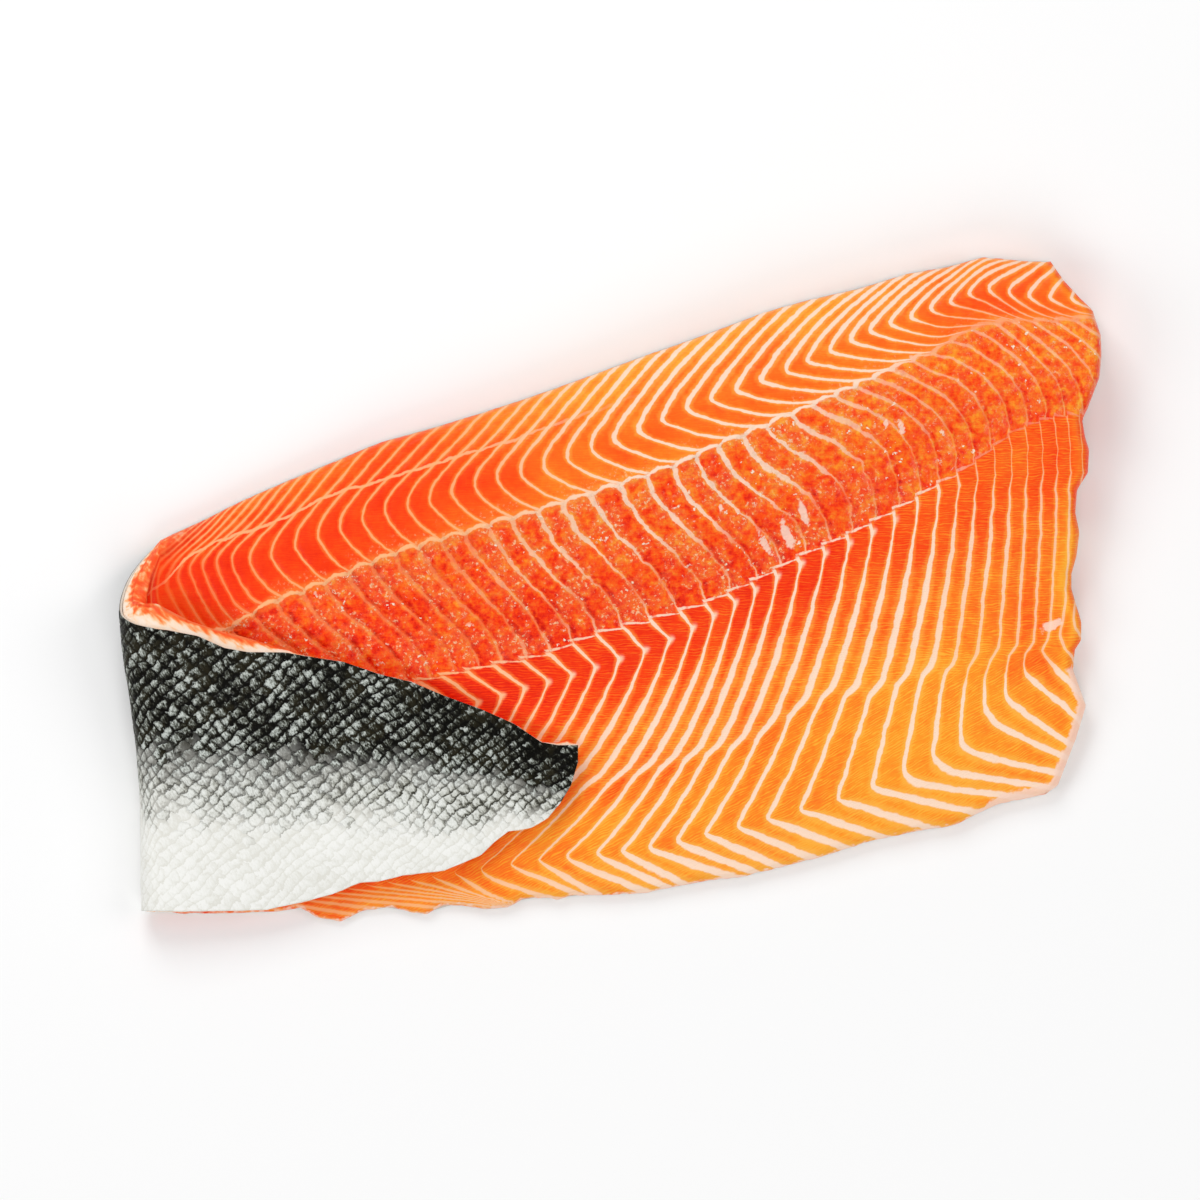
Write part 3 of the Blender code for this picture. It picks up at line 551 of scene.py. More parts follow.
def flesh_height(f):
    """Height of the flesh face over the sheet's underside, mm.

    Sheet thickness, times a quarter-circle share near the outline, less a groove
    (bell curve of the distance to the nearest flake line), plus a crown in each
    flake, a sunken rough middle band and ripples.
    """
    near_line = (f.in_back * off_line(f.back, f.rate_back)
                 + f.in_middle * off_line(f.middle, f.rate_middle)
                 + f.in_belly * off_line(f.belly, f.rate_belly))
    rough = 0.55 * ripple(f.x / 3.1, f.b / 3.1, 3) + 0.45 * ripple(f.x / 1.5, f.b / 1.5, 4)
    groove = 0.30 + 0.45 * f.in_middle + 0.15 * f.left
    relief = -groove * bell(near_line, 0.95) + 0.18 * smooth(near_line / 2.6)
    relief += f.in_middle * (-0.50 + 0.30 * rough) + 0.10 * rough * (1.0 - f.in_middle)
    relief += 0.25 * bell(f.d_upper, 1.6) + 0.12 * bell(f.d_lower, 1.0) + 0.25 * f.waves
    relief *= f.flat * smooth(f.rim_far / 3.0)
    inward = 1.0 - np.minimum(f.rim_far / EDGE_ROUND, 1.0)
    rounding = np.sqrt(np.clip(1.0 - inward ** 2, 0.0, 1.0))
    height = sheet_thickness(f.a, f.b) * (EDGE_SHARE + (1.0 - EDGE_SHARE) * rounding) + relief
    return np.maximum(height, FLESH_BASE + 0.8)


def redness(f):
    """How red the flesh is, from 0, yellow orange, to 1, deep red: each band has
    its own value, with smooth steps along and across it, redder by the fold (its own red
    with painted shade of the fold's hollow on top) and the middle, and yellower by the edges."""
    x, back, belly = f.x, f.in_back, f.in_belly
    tone = back * (0.47 + 0.33 * smooth((10.0 - x) / 105.0) + 0.05 * bell(f.d_crest, 8.0))
    tone -= back * (0.17 - 0.04 * f.left) * smooth((f.d_crest - 7.0) / 14.0)
    tone += back * 0.10 * smooth((x - 95.0) / 30.0)
    tone += f.in_middle * (0.56 + 0.22 * smooth((110.0 - x) / 180.0))
    lower_third = smooth((f.mid_way - 0.45) / 0.35) * smooth((x + 70.0) / 40.0)
    tone += f.in_middle * 0.12 * lower_third * (1.0 - smooth((x - 100.0) / 30.0))
    tone += belly * (0.87 - 0.42 * smooth(f.bow / 0.50) - 0.18 * smooth((f.bow - 0.40) / 0.5))
    tone += belly * 0.15 * bell(f.d_kink + 2.0, 7.0) * smooth((70.0 - x) / 70.0)
    tone -= belly * 0.16 * smooth((x - 50.0) / 60.0) * smooth((f.bow - 0.25) / 0.5)
    tone += belly * (0.30 * smooth((10.0 - x) / 80.0) + 0.22 * smooth((-70.0 - x) / 30.0))
    tone -= belly * 0.09 * smooth((x - 98.0) / 24.0) * (1.0 - smooth(f.bow / 0.6))
    tone -= belly * 0.10 * f.left
    tone += belly * 0.14 * smooth((x - 125.0) / 15.0) * smooth((-f.d_kink + 3.0) / 8.0)
    tone -= belly * 0.20 * smooth((x - 70.0) / 50.0) * smooth((0.25 - f.bow) / 0.25)
    tone += belly * 0.36 * bell(x - 149.0, 13.0) * bell(f.b + 8.0, 16.0)
    tone += belly * 0.22 * bell(x - 163.0, 8.0) * bell(f.b + 13.0, 17.0)
    tone -= belly * 0.14 * bell(x - 92.0, 12.0) * bell(f.b - 6.0, 12.0)
    cut_far = np.where(f.a > 200.0, f.to_cut, 99.0)
    tone -= 0.21 * smooth((7.5 - cut_far) / 5.0) + 0.07 * bell(f.rim_far, 2.4) * f.flat
    tone += 0.40 * smooth((3.8 - cut_far) / 3.0)
    # Deeper red by the fold and round the bend: the flesh's own red with painted shade of the
    # fold's hollow
    inner = by_the_fold(f) * (1.0 - smooth((-f.a - 2.0) / 10.0))
    return tone + 0.07 * f.waves + 0.10 * inner + 0.10 * smooth(-f.a / 12.0)


def by_the_fold(f):
    """Share of the place where the flesh turns into the fold, below the crest."""
    return smooth((-f.x - 112.0) / 34.0) * smooth((8.0 - f.d_crest) / 12.0)


def line_strength(f):
    """How strongly the white lines show: less by the fold, round the bend, in the
    lower part of the middle band and towards the cut end."""
    middle = 0.25 + 0.75 * smooth((f.x + 62.0) / 40.0)
    middle *= 1.0 - 0.60 * smooth((f.x - 55.0) / 50.0)
    middle *= 1.0 - 0.85 * bell(f.mid_way - 0.76, 0.22)
    strength = (1.0 - 0.60 * by_the_fold(f)) * (1.0 - 0.85 * bell(f.a, 9.0))
    strength *= 1.0 - f.in_middle
    strength += f.in_middle * middle
    far_right = smooth((f.x - 100.0) / 30.0) * (0.12 + 0.45 * smooth(-f.d_crest / 4.0))
    strength *= 1.0 - f.in_back * (0.28 * f.left + far_right)
    strength *= 1.0 - f.in_belly * f.thin_part
    by_fold = 0.35 * smooth((-50.0 - f.x) / 40.0)
    return strength * (1.0 - f.in_belly * (0.45 * f.faint_part + by_fold))


def fat_places(f):
    """Where fat lies open on the flesh: oval lumps, each exp(-u^2 - v^2) in its own
    turned axes, the cream corner at the cut end and the belly's thin rim."""
    fat = np.zeros_like(f.a)
    for lump_x, lump_y, wide, long, turn in FAT_LUMPS:
        along = (f.x - lump_x) * math.cos(turn) + (f.b - lump_y) * math.sin(turn)
        across = (f.b - lump_y) * math.cos(turn) - (f.x - lump_x) * math.sin(turn)
        fat = np.maximum(fat, np.exp(-(along / long) ** 2 - (across / wide) ** 2))
    corner = smooth((f.x - 128.0) / 14.0) * smooth((-22.0 - f.b) / 12.0)
    thin_rim = 0.50 * f.in_belly * bell(f.rim_far, 1.2) * smooth((-36.0 - f.b) / 12.0)
    return np.maximum(fat, corner * bell(f.rim_far, 3.6) + thin_rim)


def flesh_surface():
    """The flesh as one closed sheet: its face at flesh_height, its underside on the
    skin, and a wall between them that swells as 4 s (1 - s) and has nicks."""
    f = flesh_fields()
    skin_a, skin_b = sheet_grid(COLUMNS, ROWS, SKIN_BEND_BACK, FLAP_SKIN_BACK, 0.0)
    height = flesh_height(f)
    top = place(f.a, f.b, height)
    bottom = place(skin_a, skin_b, np.full_like(f.a, FLESH_BASE))

    rim = rim_order(*f.a.shape)
    share = np.array(WALL_SHARES)[:, None]
    swell = 4.0 * share * (1.0 - share) * 0.5
    wall_a = f.a.ravel()[rim] * (1 - share) + skin_a.ravel()[rim] * share
    wall_b = f.b.ravel()[rim] * (1 - share) + skin_b.ravel()[rim] * share
    wall_h = height.ravel()[rim] * (1 - share) + FLESH_BASE * share
    nicks = 0.22 * ripple(wall_a / 2.2, wall_h / 1.3 + wall_b / 2.2, 11)
    outwards = np.sign(wall_b - (f.high + f.low).ravel()[rim] * 0.5)
    walls = place(wall_a, wall_b + outwards * (swell * 0.4 + nicks), wall_h)

    def per_corner(first, second, third, wall_third=None):
        """Three values at each corner of the face, the wall and the underside; the
        third can be the share down the wall instead."""
        face = np.stack([first, second, third], -1).reshape(-1, 3)
        wall = np.broadcast_to(face[rim], (len(share), len(rim), 3)).copy()
        under = face.copy()
        if wall_third is not None:
            wall[:, :, 2] = wall_third
            under[:, 2] = UNDER_SHARE
        return np.concatenate([face, wall.reshape(-1, 3), under])

    wide_back, wide_middle, wide_belly = line_widths(f)
    spur = bell(f.d_bend + 0.2, 1.1) * f.in_belly * (1.0 - smooth((f.x - 95.0) / 20.0))
    # Painted shade: deeper red in the gaps beside the middle band's lines
    crevice = f.in_middle * np.maximum(smooth((f.mid_way - 0.35) / 0.4),
                                       smooth((-30.0 - f.x) / 40.0))
    cream = bell(f.rim_far, 5.5) * smooth((-f.x - 140.0) / 14.0) * smooth((f.a + 44.0) / 4.0)
    tilt = smooth(-f.d_kink / 5.0) * f.in_belly
    layers = {
        "back_flakes": per_corner(f.back, wide_back * f.rate_back, f.in_back),
        "middle_flakes": per_corner(f.middle, wide_middle * f.rate_middle, f.in_middle),
        "belly_flakes": per_corner(f.belly, wide_belly * f.rate_belly, f.in_belly),
        "turning_lines": per_corner(f.d_upper, f.d_lower, f.d_seam),
        "flesh_tone": per_corner(redness(f), fat_places(f), 0.24 * cream, share),
        "lay": per_corner(tilt, f.left, f.flat),
        "line_marks": per_corner(line_strength(f), spur, crevice),
    }
    return closed_sheet("salmon_flesh", top, bottom, walls, layers)


# Skin

SKIN_COLUMNS = share_steps([(0.29, 260), (0.365, 60), (1.0, 40)])
SKIN_ROWS = share_steps([(0.01, 2), (0.99, 170), (1.0, 2)])
SCALE_LONG = 5.7
SCALE_WIDE = 5.1


def scale_height(along, across):
    """Height of overlapping scales from 0 to 1: diamonds in staggered rows, each
    rising towards its free edge and falling sharply at its two leading sides."""
    u = along / SCALE_LONG + across / SCALE_WIDE
    v = along / SCALE_LONG - across / SCALE_WIDE
    fu, fv = u - np.floor(u), v - np.floor(v)
    edge = np.minimum(np.minimum(fu, 1.0 - fu), np.minimum(fv, 1.0 - fv))
    return smooth(edge / 0.16) * (0.45 + 0.55 * (1.0 - 0.5 * (fu + fv)))


def flip(grid):
    """Grid with its rows the other way round, so that a face looks down."""
    return grid[:, ::-1]


def skin_surface():
    """The skin as one closed thin sheet, its outer face carrying the scales: their
    height, less towards the silver belly, and shallow dents."""
    a, b = sheet_grid(SKIN_COLUMNS, SKIN_ROWS, SKIN_BEND_BACK, FLAP_SKIN_BACK, SKIN_OVERHANG)
    high = back_line(a, SKIN_BEND_BACK, FLAP_SKIN_BACK, SKIN_OVERHANG)
    low = belly_line(a)
    rim_far = np.minimum(high - b, b - low)
    rim_far = np.minimum(rim_far, np.minimum(a[-1][None, :] - a, a - a[0][None, :]))
    far = np.clip((-a - 90.0) / 90.0, 0.0, 1.0)
    along = -a + 14.0 * far * far + 1.7 * ripple(a / 13.0, b / 13.0, 21)
    across = b + (b + 75.0) * 0.30 * far + 1.7 * ripple(a / 13.0, b / 13.0, 22)
    way = (b - low) / np.maximum(high - low, 1.0) + 0.25 * smooth((-a - 150.0) / 50.0)
    fine = smooth(-a / 6.0)
    silver = smooth((0.52 - way) / 0.20)
    bump = scale_height(along, across) * (0.36 - 0.35 * silver) * fine * smooth(rim_far / 2.0)
    dents = 0.16 * ripple(a / 9.0, b / 7.0, 23) * fine * smooth(rim_far / 4.0)
    outer = flip(place(a, b, -(bump + dents)))
    outer[..., 2] = np.maximum(outer[..., 2], 0.0)
    inner = flip(place(a, b, np.full_like(a, SKIN_THICK)))
    rim = rim_order(*a.shape)
    wall = 0.5 * (outer.reshape(-1, 3)[rim] + inner.reshape(-1, 3)[rim])[None]

    def per_corner(first, second, inside):
        """Two values at each corner, and a third that is 0 on the outer face and
        inside on the wall and the inner face."""
        face = flip(np.stack([first, second, np.zeros_like(a)], -1)).reshape(-1, 3)
        under = face.copy()
        under[:, 2] = inside
        return np.concatenate([face, under[rim], under])

    layers = {"scale_place": per_corner(along, across, 0.0),
              "skin_tone": per_corner(way, fine, 1.0)}
    return closed_sheet("salmon_skin", outer, inner, wall, layers)


# Shader values

class Value:
    """A shader value: each sign of arithmetic between it and a number or another
    shader value is one math node."""

    def __init__(self, tree, socket):
        self.tree = tree
        self.socket = socket

    def __add__(self, other):
        return calc("ADD", self, other)

    def __sub__(self, other):
        return calc("SUBTRACT", self, other)

    def __rsub__(self, other):
        return calc("SUBTRACT", other, self, tree=self.tree)

    def __mul__(self, other):
        return calc("MULTIPLY", self, other)

    def __truediv__(self, other):
        return calc("DIVIDE", self, other)

    def __abs__(self):
        return calc("ABSOLUTE", self)


def put(socket, value):
    """Give a socket a number, a colour or a shader value."""
    if isinstance(value, Value):
        value.tree.links.new(value.socket, socket)
    else:
        socket.default_value = value


def calc(kind, *values, tree=None):
    """Math node of that kind; each value is a number or a shader value."""
    tree = tree or values[0].tree
    node = tree.nodes.new("ShaderNodeMath")
    node.operation = kind
    for socket, value in zip(node.inputs, values):
        put(socket, value)
    return Value(tree, node.outputs[0])


def greatest(first, *others):
    """The greatest of some shader values."""
    for other in others:
        first = calc("MAXIMUM", first, other)
    return first


def rise(value, start, end, to_low=0.0, to_high=1.0):
    """Smooth step of a shader value from start to end."""
    node = value.tree.nodes.new("ShaderNodeMapRange")
    node.interpolation_type = "SMOOTHSTEP"
    for socket, given in zip(node.inputs, (value, start, end, to_low, to_high)):
        put(socket, given)
    return Value(value.tree, node.outputs[0])


def noise(place, scale, detail=2.0, rough=0.5, warp=0.0):
    """Noise around a half at the place."""
    node = place.tree.nodes.new("ShaderNodeTexNoise")
    for label, value in (("Vector", place), ("Scale", scale), ("Detail", detail),
                         ("Roughness", rough), ("Distortion", warp)):
        put(node.inputs[label], value)
    return Value(place.tree, node.outputs["Fac"])


def random_value(dimensions, socket, value):
    """Random number from 0 to 1 that belongs to a whole value or a whole place."""
    node = value.tree.nodes.new("ShaderNodeTexWhiteNoise")
    node.noise_dimensions = dimensions
    put(node.inputs[socket], value)
    return Value(value.tree, node.outputs["Value"])


def stretch(place, scale, turn=0.0):
    """Place turned about the up axis and divided by a scale along each axis."""
    node = place.tree.nodes.new("ShaderNodeMapping")
    node.vector_type = "TEXTURE"
    put(node.inputs["Vector"], place)
    node.inputs["Rotation"].default_value = (0.0, 0.0, turn)
    node.inputs["Scale"].default_value = scale
    return Value(place.tree, node.outputs[0])


def parts_of(place):
    """The three parts of a place as shader values."""
    node = place.tree.nodes.new("ShaderNodeSeparateXYZ")
    put(node.inputs[0], place)
    return [Value(place.tree, output) for output in node.outputs]


def layer_values(tree, name):
    """The three values of a piece's own layer."""
    node = tree.nodes.new("ShaderNodeAttribute")
    node.attribute_name = name
    return parts_of(Value(tree, node.outputs["Vector"]))


def place_in_mm(tree):
    """Object coordinates in millimetres."""
    where = tree.nodes.new("ShaderNodeTexCoord")
    node = tree.nodes.new("ShaderNodeVectorMath")
    node.operation = "SCALE"
    tree.links.new(where.outputs["Object"], node.inputs[0])
    node.inputs["Scale"].default_value = 1000.0
    return Value(tree, node.outputs[0])


def tint(red, green, blue):
    """Linear colour from a screen colour given as 0 to 255."""
    screen = np.array([red, green, blue]) / 255.0
    linear = np.where(screen <= 0.04045, screen / 12.92, ((screen + 0.055) / 1.055) ** 2.4)
    return (*linear.tolist(), 1.0)


def blend(share, first, second):
    """Colour between first and second by share."""
    node = share.tree.nodes.new("ShaderNodeMix")
    node.data_type = "RGBA"
    for label, value in (("Factor", share), ("A", first), ("B", second)):
        put(node.inputs[label], value)
    return Value(share.tree, node.outputs["Result"])


def colour_steps(value, *steps):
    """Colour ramp through (position, colour) steps."""
    node = value.tree.nodes.new("ShaderNodeValToRGB")
    put(node.inputs[0], value)
    stops = node.color_ramp.elements
    stops[0].position, stops[0].color = steps[0]
    stops[1].position, stops[1].color = steps[-1]
    for position, colour in steps[1:-1]:
        stops.new(position).color = colour
    return Value(value.tree, node.outputs[0])


def new_effect(name, **inputs):
    """Node group with named inputs, a number or None for a place, and their values."""
    group = bpy.data.node_groups.new(name, "ShaderNodeTree")
    for label, number in inputs.items():
        kind = "NodeSocketVector" if number is None else "NodeSocketFloat"
        socket = group.interface.new_socket(name=label, in_out="INPUT", socket_type=kind)
        if number is not None:
            socket.default_value = number
    given = group.nodes.new("NodeGroupInput").outputs
    return group, [Value(group, given[label]) for label in inputs]


def finish_effect(group, **results):
    """Give a node group its named outputs."""
    for label in results:
        group.interface.new_socket(name=label, in_out="OUTPUT", socket_type="NodeSocketFloat")
    out = group.nodes.new("NodeGroupOutput")
    for label, value in results.items():
        put(out.inputs[label], value)
    return group


def use_effect(tree, group, **values):
    """Place an effect in a material, give it its inputs, and return its outputs."""
    node = tree.nodes.new("ShaderNodeGroup")
    node.node_tree = group
    for label, value in values.items():
        put(node.inputs[label], value)
    return {output.name: Value(tree, output) for output in node.outputs}


# Effects

def fat_line_effect():
    """White line where the flake number is whole: the line covers the half width to
    each side, wanders and thickens with noise, and has a soft halo."""
    group, (number, half, place, wander, ragged) = new_effect(
        "fat line", Number=0.0, Half=0.1, Place=None, Wander=0.1, Ragged=0.3)
    number = (noise(place, 0.15, 3.0, 0.55) - 0.5) * wander + number
    thick = noise(place, 0.55, 3.0) + noise(place, 0.13, 2.0) - 1.0
    half = (thick * ragged + 1.0) * half
    side = calc("FRACT", number + 0.5) - 0.5
    near = abs(side)
    return finish_effect(group, Line=rise(near, half * 1.25, half * 0.7),
                         Halo=rise(near, half * 3.4, half), Side=side,
                         Own=random_value("1D", "W", calc("FLOOR", number)))


def strand_effect():
    """Fine wavy strands: a sine across the strands, bent by slow noise, that
    fades in and out with noise drawn out along them."""
    group, (place, wave, pitch) = new_effect("muscle strands", Place=None, Wave=1.0, Pitch=1.1)
    bend = noise(stretch(place, (7.0, 3.0, 9.0)), 1.0, 2.0) - 0.5
    turns = (bend * wave + parts_of(place)[1]) / pitch * (2.0 * math.pi)
    fade = noise(stretch(place, (5.0, 0.9, 5.0)), 1.0, 2.0, 0.5)
    return finish_effect(group, Strand=calc("SINE", turns) * 0.5 * rise(fade, 0.35, 0.6) + fade)


def moisture_effect():
    """Wet film: rounded lumps for the bump, small spots (painted highlight specks on the flesh,
    coat on the skin) and pits (painted shade on the flesh).
    """
    group, (place,) = new_effect("moisture", Place=None)
    grain = noise(place, 0.85, 3.0, 0.6)
    return finish_effect(group, Lumps=noise(place, 0.55, 4.0, 0.6, 0.5),
                         Shine=rise(grain, 0.57, 0.63), Pits=rise(grain, 0.44, 0.37))


def scale_effect():
    """Staggered diamond scales: nearness to each scale's rim, its own random value,
    its slope and tilt, its relief and how near its far sides are."""
    group, (along, across, place, jagged) = new_effect(
        "fish scales", Along=0.0, Across=0.0, Place=None, Jagged=4.0)
    turned = stretch(place, (1.3, 1.1, 1.0), 1.2)
    along = ((noise(place, 0.34, 4.0, 0.6) - 0.5) * jagged + along) / SCALE_LONG
    across = ((noise(turned, 0.34, 4.0, 0.6) - 0.5) * jagged + across) / SCALE_WIDE
    u, v = along + across, along - across
    fu, fv = calc("FRACT", u), calc("FRACT", v)
    edge = calc("SMOOTH_MIN", calc("MINIMUM", fu, 1.0 - fu), calc("MINIMUM", fv, 1.0 - fv), 0.25)
    slope = (fu + fv) * 0.5
    cell = group.nodes.new("ShaderNodeCombineXYZ")
    put(cell.inputs[0], calc("FLOOR", u))
    put(cell.inputs[1], calc("FLOOR", v))
    return finish_effect(group, Rim=edge, Slope=slope, Relief=rise(edge, 0.0, 0.2) * (1.0 - slope),
                         Tilt=fu - fv, Far=greatest(fu, fv),
                         Own=random_value("2D", "Vector", Value(group, cell.outputs[0])))


FAT_LINE = fat_line_effect()
STRANDS = strand_effect()
MOISTURE = moisture_effect()
SCALES = scale_effect()


# Materials

def start_material(name):
    """Material with a fresh tree; returns it, its tree and its shader."""
    material = bpy.data.materials.new(name)
    material.use_nodes = True
    tree = material.node_tree
    return material, tree, tree.nodes["Principled BSDF"]


def finish_material(shader, colour, roughness, coat, coat_roughness, gloss):
    """Give a shader its colour, its roughness, its wet coat and its level of gloss."""
    put(shader.inputs["Base Color"], colour)
    put(shader.inputs["Roughness"], roughness)
    put(shader.inputs["Coat Weight"], coat)
    put(shader.inputs["Coat Roughness"], coat_roughness)
    put(shader.inputs["Specular IOR Level"], gloss)


def raise_surface(shader, height, strength, distance):
    """Bump the surface by a height, over a distance in metres."""
    bump = height.tree.nodes.new("ShaderNodeBump")
    for label, value in (("Strength", strength), ("Distance", distance), ("Height", height)):
        put(bump.inputs[label], value)
    put(shader.inputs["Normal"], Value(height.tree, bump.outputs[0]))


# Flesh colours, from yellow orange to deep red, and down the fatty wall
FLESH_COLOURS = [(0.0, tint(255, 176, 52)), (0.14, tint(254, 155, 38)), (0.28, tint(254, 132, 32)),
                 (0.42, tint(253, 108, 24)), (0.56, tint(252, 82, 15)), (0.70, tint(249, 58, 8)),
                 (0.84, tint(236, 38, 5)), (1.0, tint(208, 22, 4))]
WALL_COLOURS = [(0.10, tint(251, 84, 34)), (0.34, tint(254, 128, 62)), (0.52, tint(253, 186, 132)),
                (0.70, tint(252, 222, 194)), (1.0, tint(250, 230, 212))]
ROUGH_FLESH = tint(255, 138, 84)
# Painted shade: deep red in the pits of the rough middle
PIT_SHADE_RED = tint(250, 52, 12)
# Painted highlight: pale specks where the rough middle shines
GLINT_SPOT_WHITE = tint(255, 208, 160)
HALO_ORANGE = tint(255, 180, 84)
LINE_WHITE = tint(253, 222, 198)
LINE_WHITE_BY_FOLD = tint(254, 188, 132)
LUMP_WHITE = tint(254, 216, 196)
GLINT_WHITE = tint(255, 232, 208)

# Tone that has the deepest red
TONE_TOP = 1.25


def flesh_layers(tree):
    """The flesh's own layers, and the noises that several of its marks share."""
    m = SimpleNamespace(place=place_in_mm(tree), lines=[], shares=[])
    for layer, wander, ragged in (("back_flakes", 0.22, 1.1), ("middle_flakes", 0.40, 1.6),
                                  ("belly_flakes", 0.20, 0.7)):
        number, half, share = layer_values(tree, layer)
        m.lines.append(use_effect(tree, FAT_LINE, Number=number, Half=half, Place=m.place,
                                  Wander=wander, Ragged=ragged))
        m.shares.append(share)
    m.belly_number = number
    m.in_back, _, m.in_belly = m.shares
    m.in_middle = (1.0 - m.in_back) * (1.0 - m.in_belly)
    m.shares[1] = m.in_middle
    m.d_upper, m.d_lower, m.d_seam = layer_values(tree, "turning_lines")
    m.tone, m.fat, m.wall = layer_values(tree, "flesh_tone")
    m.tilt, m.left, m.flat = layer_values(tree, "lay")
    m.strength, m.spur, m.crevice = layer_values(tree, "line_marks")
    m.far_end = parts_of(m.place)[0]
    m.break_up = noise(m.place, 0.45, 3.0)
    m.uneven = m.break_up - 0.5
    m.sway = noise(m.place, 0.14, 3.0) - 0.5
    m.patches = noise(stretch(m.place, (1.0, 1.9, 1.0), -0.7), 0.17, 3.0, 0.6)
    m.wet = use_effect(tree, MOISTURE, Place=m.place)
    return m


def over_bands(m, label, *strengths):
    """An output of the fat lines over the three bands, each with its strength."""
    back, middle, belly = (lines[label] * share * strength for lines, share, strength
                           in zip(m.lines, m.shares, strengths))
    return back + middle + belly


def strip(m, distance, half, bend, ragged):
    """White strip along a turning line, its half width in mm uneven by a noise."""
    wide = (m.uneven * ragged + 1.0) * half
    return rise(abs(m.sway * bend + distance), wide * 1.35, wide * 0.6)


def white_marks(m):
    """White of the flake lines, of the strips along the turning lines and of the
    hooks at the bend, and the softer halo round them.

    The upper strip bows between two flake lines and the lower one runs like a
    saw, both from how far a place is between its two lines.
    """
    arch = 1.0 - abs(m.lines[1]["Side"]) * 2.0
    saw = calc("FRACT", m.belly_number) - 0.5
    upper = strip(m, (0.5 - arch * arch) * -1.5 + m.d_upper, 0.72, 2.2, 2.4)
    upper *= rise(m.far_end, 125.0, 90.0, 0.22, 1.0)
    lower = strip(m, saw * -1.7 + m.d_lower, saw * 0.34 + 0.40, 1.6, 2.0)
    lower *= rise(m.break_up, 0.36, 0.50, 0.42, 0.94) * rise(m.far_end, 135.0, 108.0, 0.22, 1.0)
    seam = strip(m, m.d_seam, 0.5, 3.0, 1.8) * m.left * 0.85
    strips = greatest(upper, lower, seam) * (m.flat * 0.7 + 0.3)
    before_line = m.lines[2]["Side"] * -1.0
    hook = rise(before_line, 0.30, 0.04) * rise(before_line, -0.03, 0.0) * m.spur
    line = over_bands(m, "Line", 0.96, 0.90, 1.0) * m.strength
    halo = over_bands(m, "Halo", 0.85, 0.75, 1.0) * (m.strength * 0.6 + 0.4)
    return greatest(line, strips, hook), greatest(halo, rise(abs(m.d_upper), 3.4, 0.9) * 0.6)


def rough_marks(m):
    """Share of the rough wet middle, its glints, and the painted shade in the gaps beside its
    lines.
    """
    zone = rise(abs(m.d_upper), 9.0, 2.0) * m.in_back * 0.55 + m.in_middle
    zone *= rise(m.patches, 0.44, 0.58) * rise(m.far_end, 120.0, 60.0, 0.4, 1.0)
    glint = rise(noise(m.place, 0.42, 3.0, 0.6), 0.64, 0.68) * m.in_middle
    glint *= rise(noise(m.place, 0.075, 1.0), 0.46, 0.60)
    before_line = m.lines[1]["Side"] * -1.0
    # Painted shade: redder in the gap just before each middle line
    gap_shade = rise(before_line, 0.02, 0.09) * rise(before_line, 0.34, 0.14) * m.crevice
    return zone, glint, gap_shade * rise(m.break_up, 0.35, 0.55)


def strands_of(m):
    """Muscle strands, level above the kink line and turned below it."""
    tree = m.place.tree
    level = use_effect(tree, STRANDS, Place=m.place, Wave=2.6, Pitch=0.92)["Strand"]
    turned = stretch(m.place, (1.0, 1.0, 1.0), 0.5)
    tilted = use_effect(tree, STRANDS, Place=turned, Wave=2.2, Pitch=0.88)["Strand"]
    return (tilted - level) * m.tilt + level


def flesh_colour(m, halo, zone, gap_shade, strand, own):
    """Colour of the bare flesh: its tone, moved by each flake's own value, clouds,
    strands, mottling, halos, the rough middle, painted shade in the gaps, and the wall, along a
    ramp."""
    mottle = noise(m.place, 0.33, 5.0, 0.68) - 0.5
    hue = m.tone + (own - 0.5) * 0.10 + (noise(m.place, 0.09, 3.0) - 0.5) * 0.36
    hue += (strand - 0.5) * (m.in_belly * -0.30 - 0.08) + mottle * (m.in_middle * 1.95 + 0.30)
    # The gap term is painted shade, redder in the gaps between the middle's flakes
    hue += gap_shade * 0.30 + rise(m.wall, 0.0, 0.12) * 0.32 - halo * 0.20 - zone * 0.10
    return colour_steps(hue / TONE_TOP, *FLESH_COLOURS)


def wall_colour(m, flesh):
    """Flesh colour with streaks of fat down its outer wall, strongest round the fold."""
    streak = noise(stretch(m.place, (1.5, 0.60, 0.6), -0.75), 0.30, 2.0, 0.45)
    fat_coat = colour_steps((streak - 0.5) * 1.5 + m.wall, *WALL_COLOURS)
    return blend(rise(m.wall, 0.02, 0.24) * (1.0 - m.flat * 0.60), flesh, fat_coat)


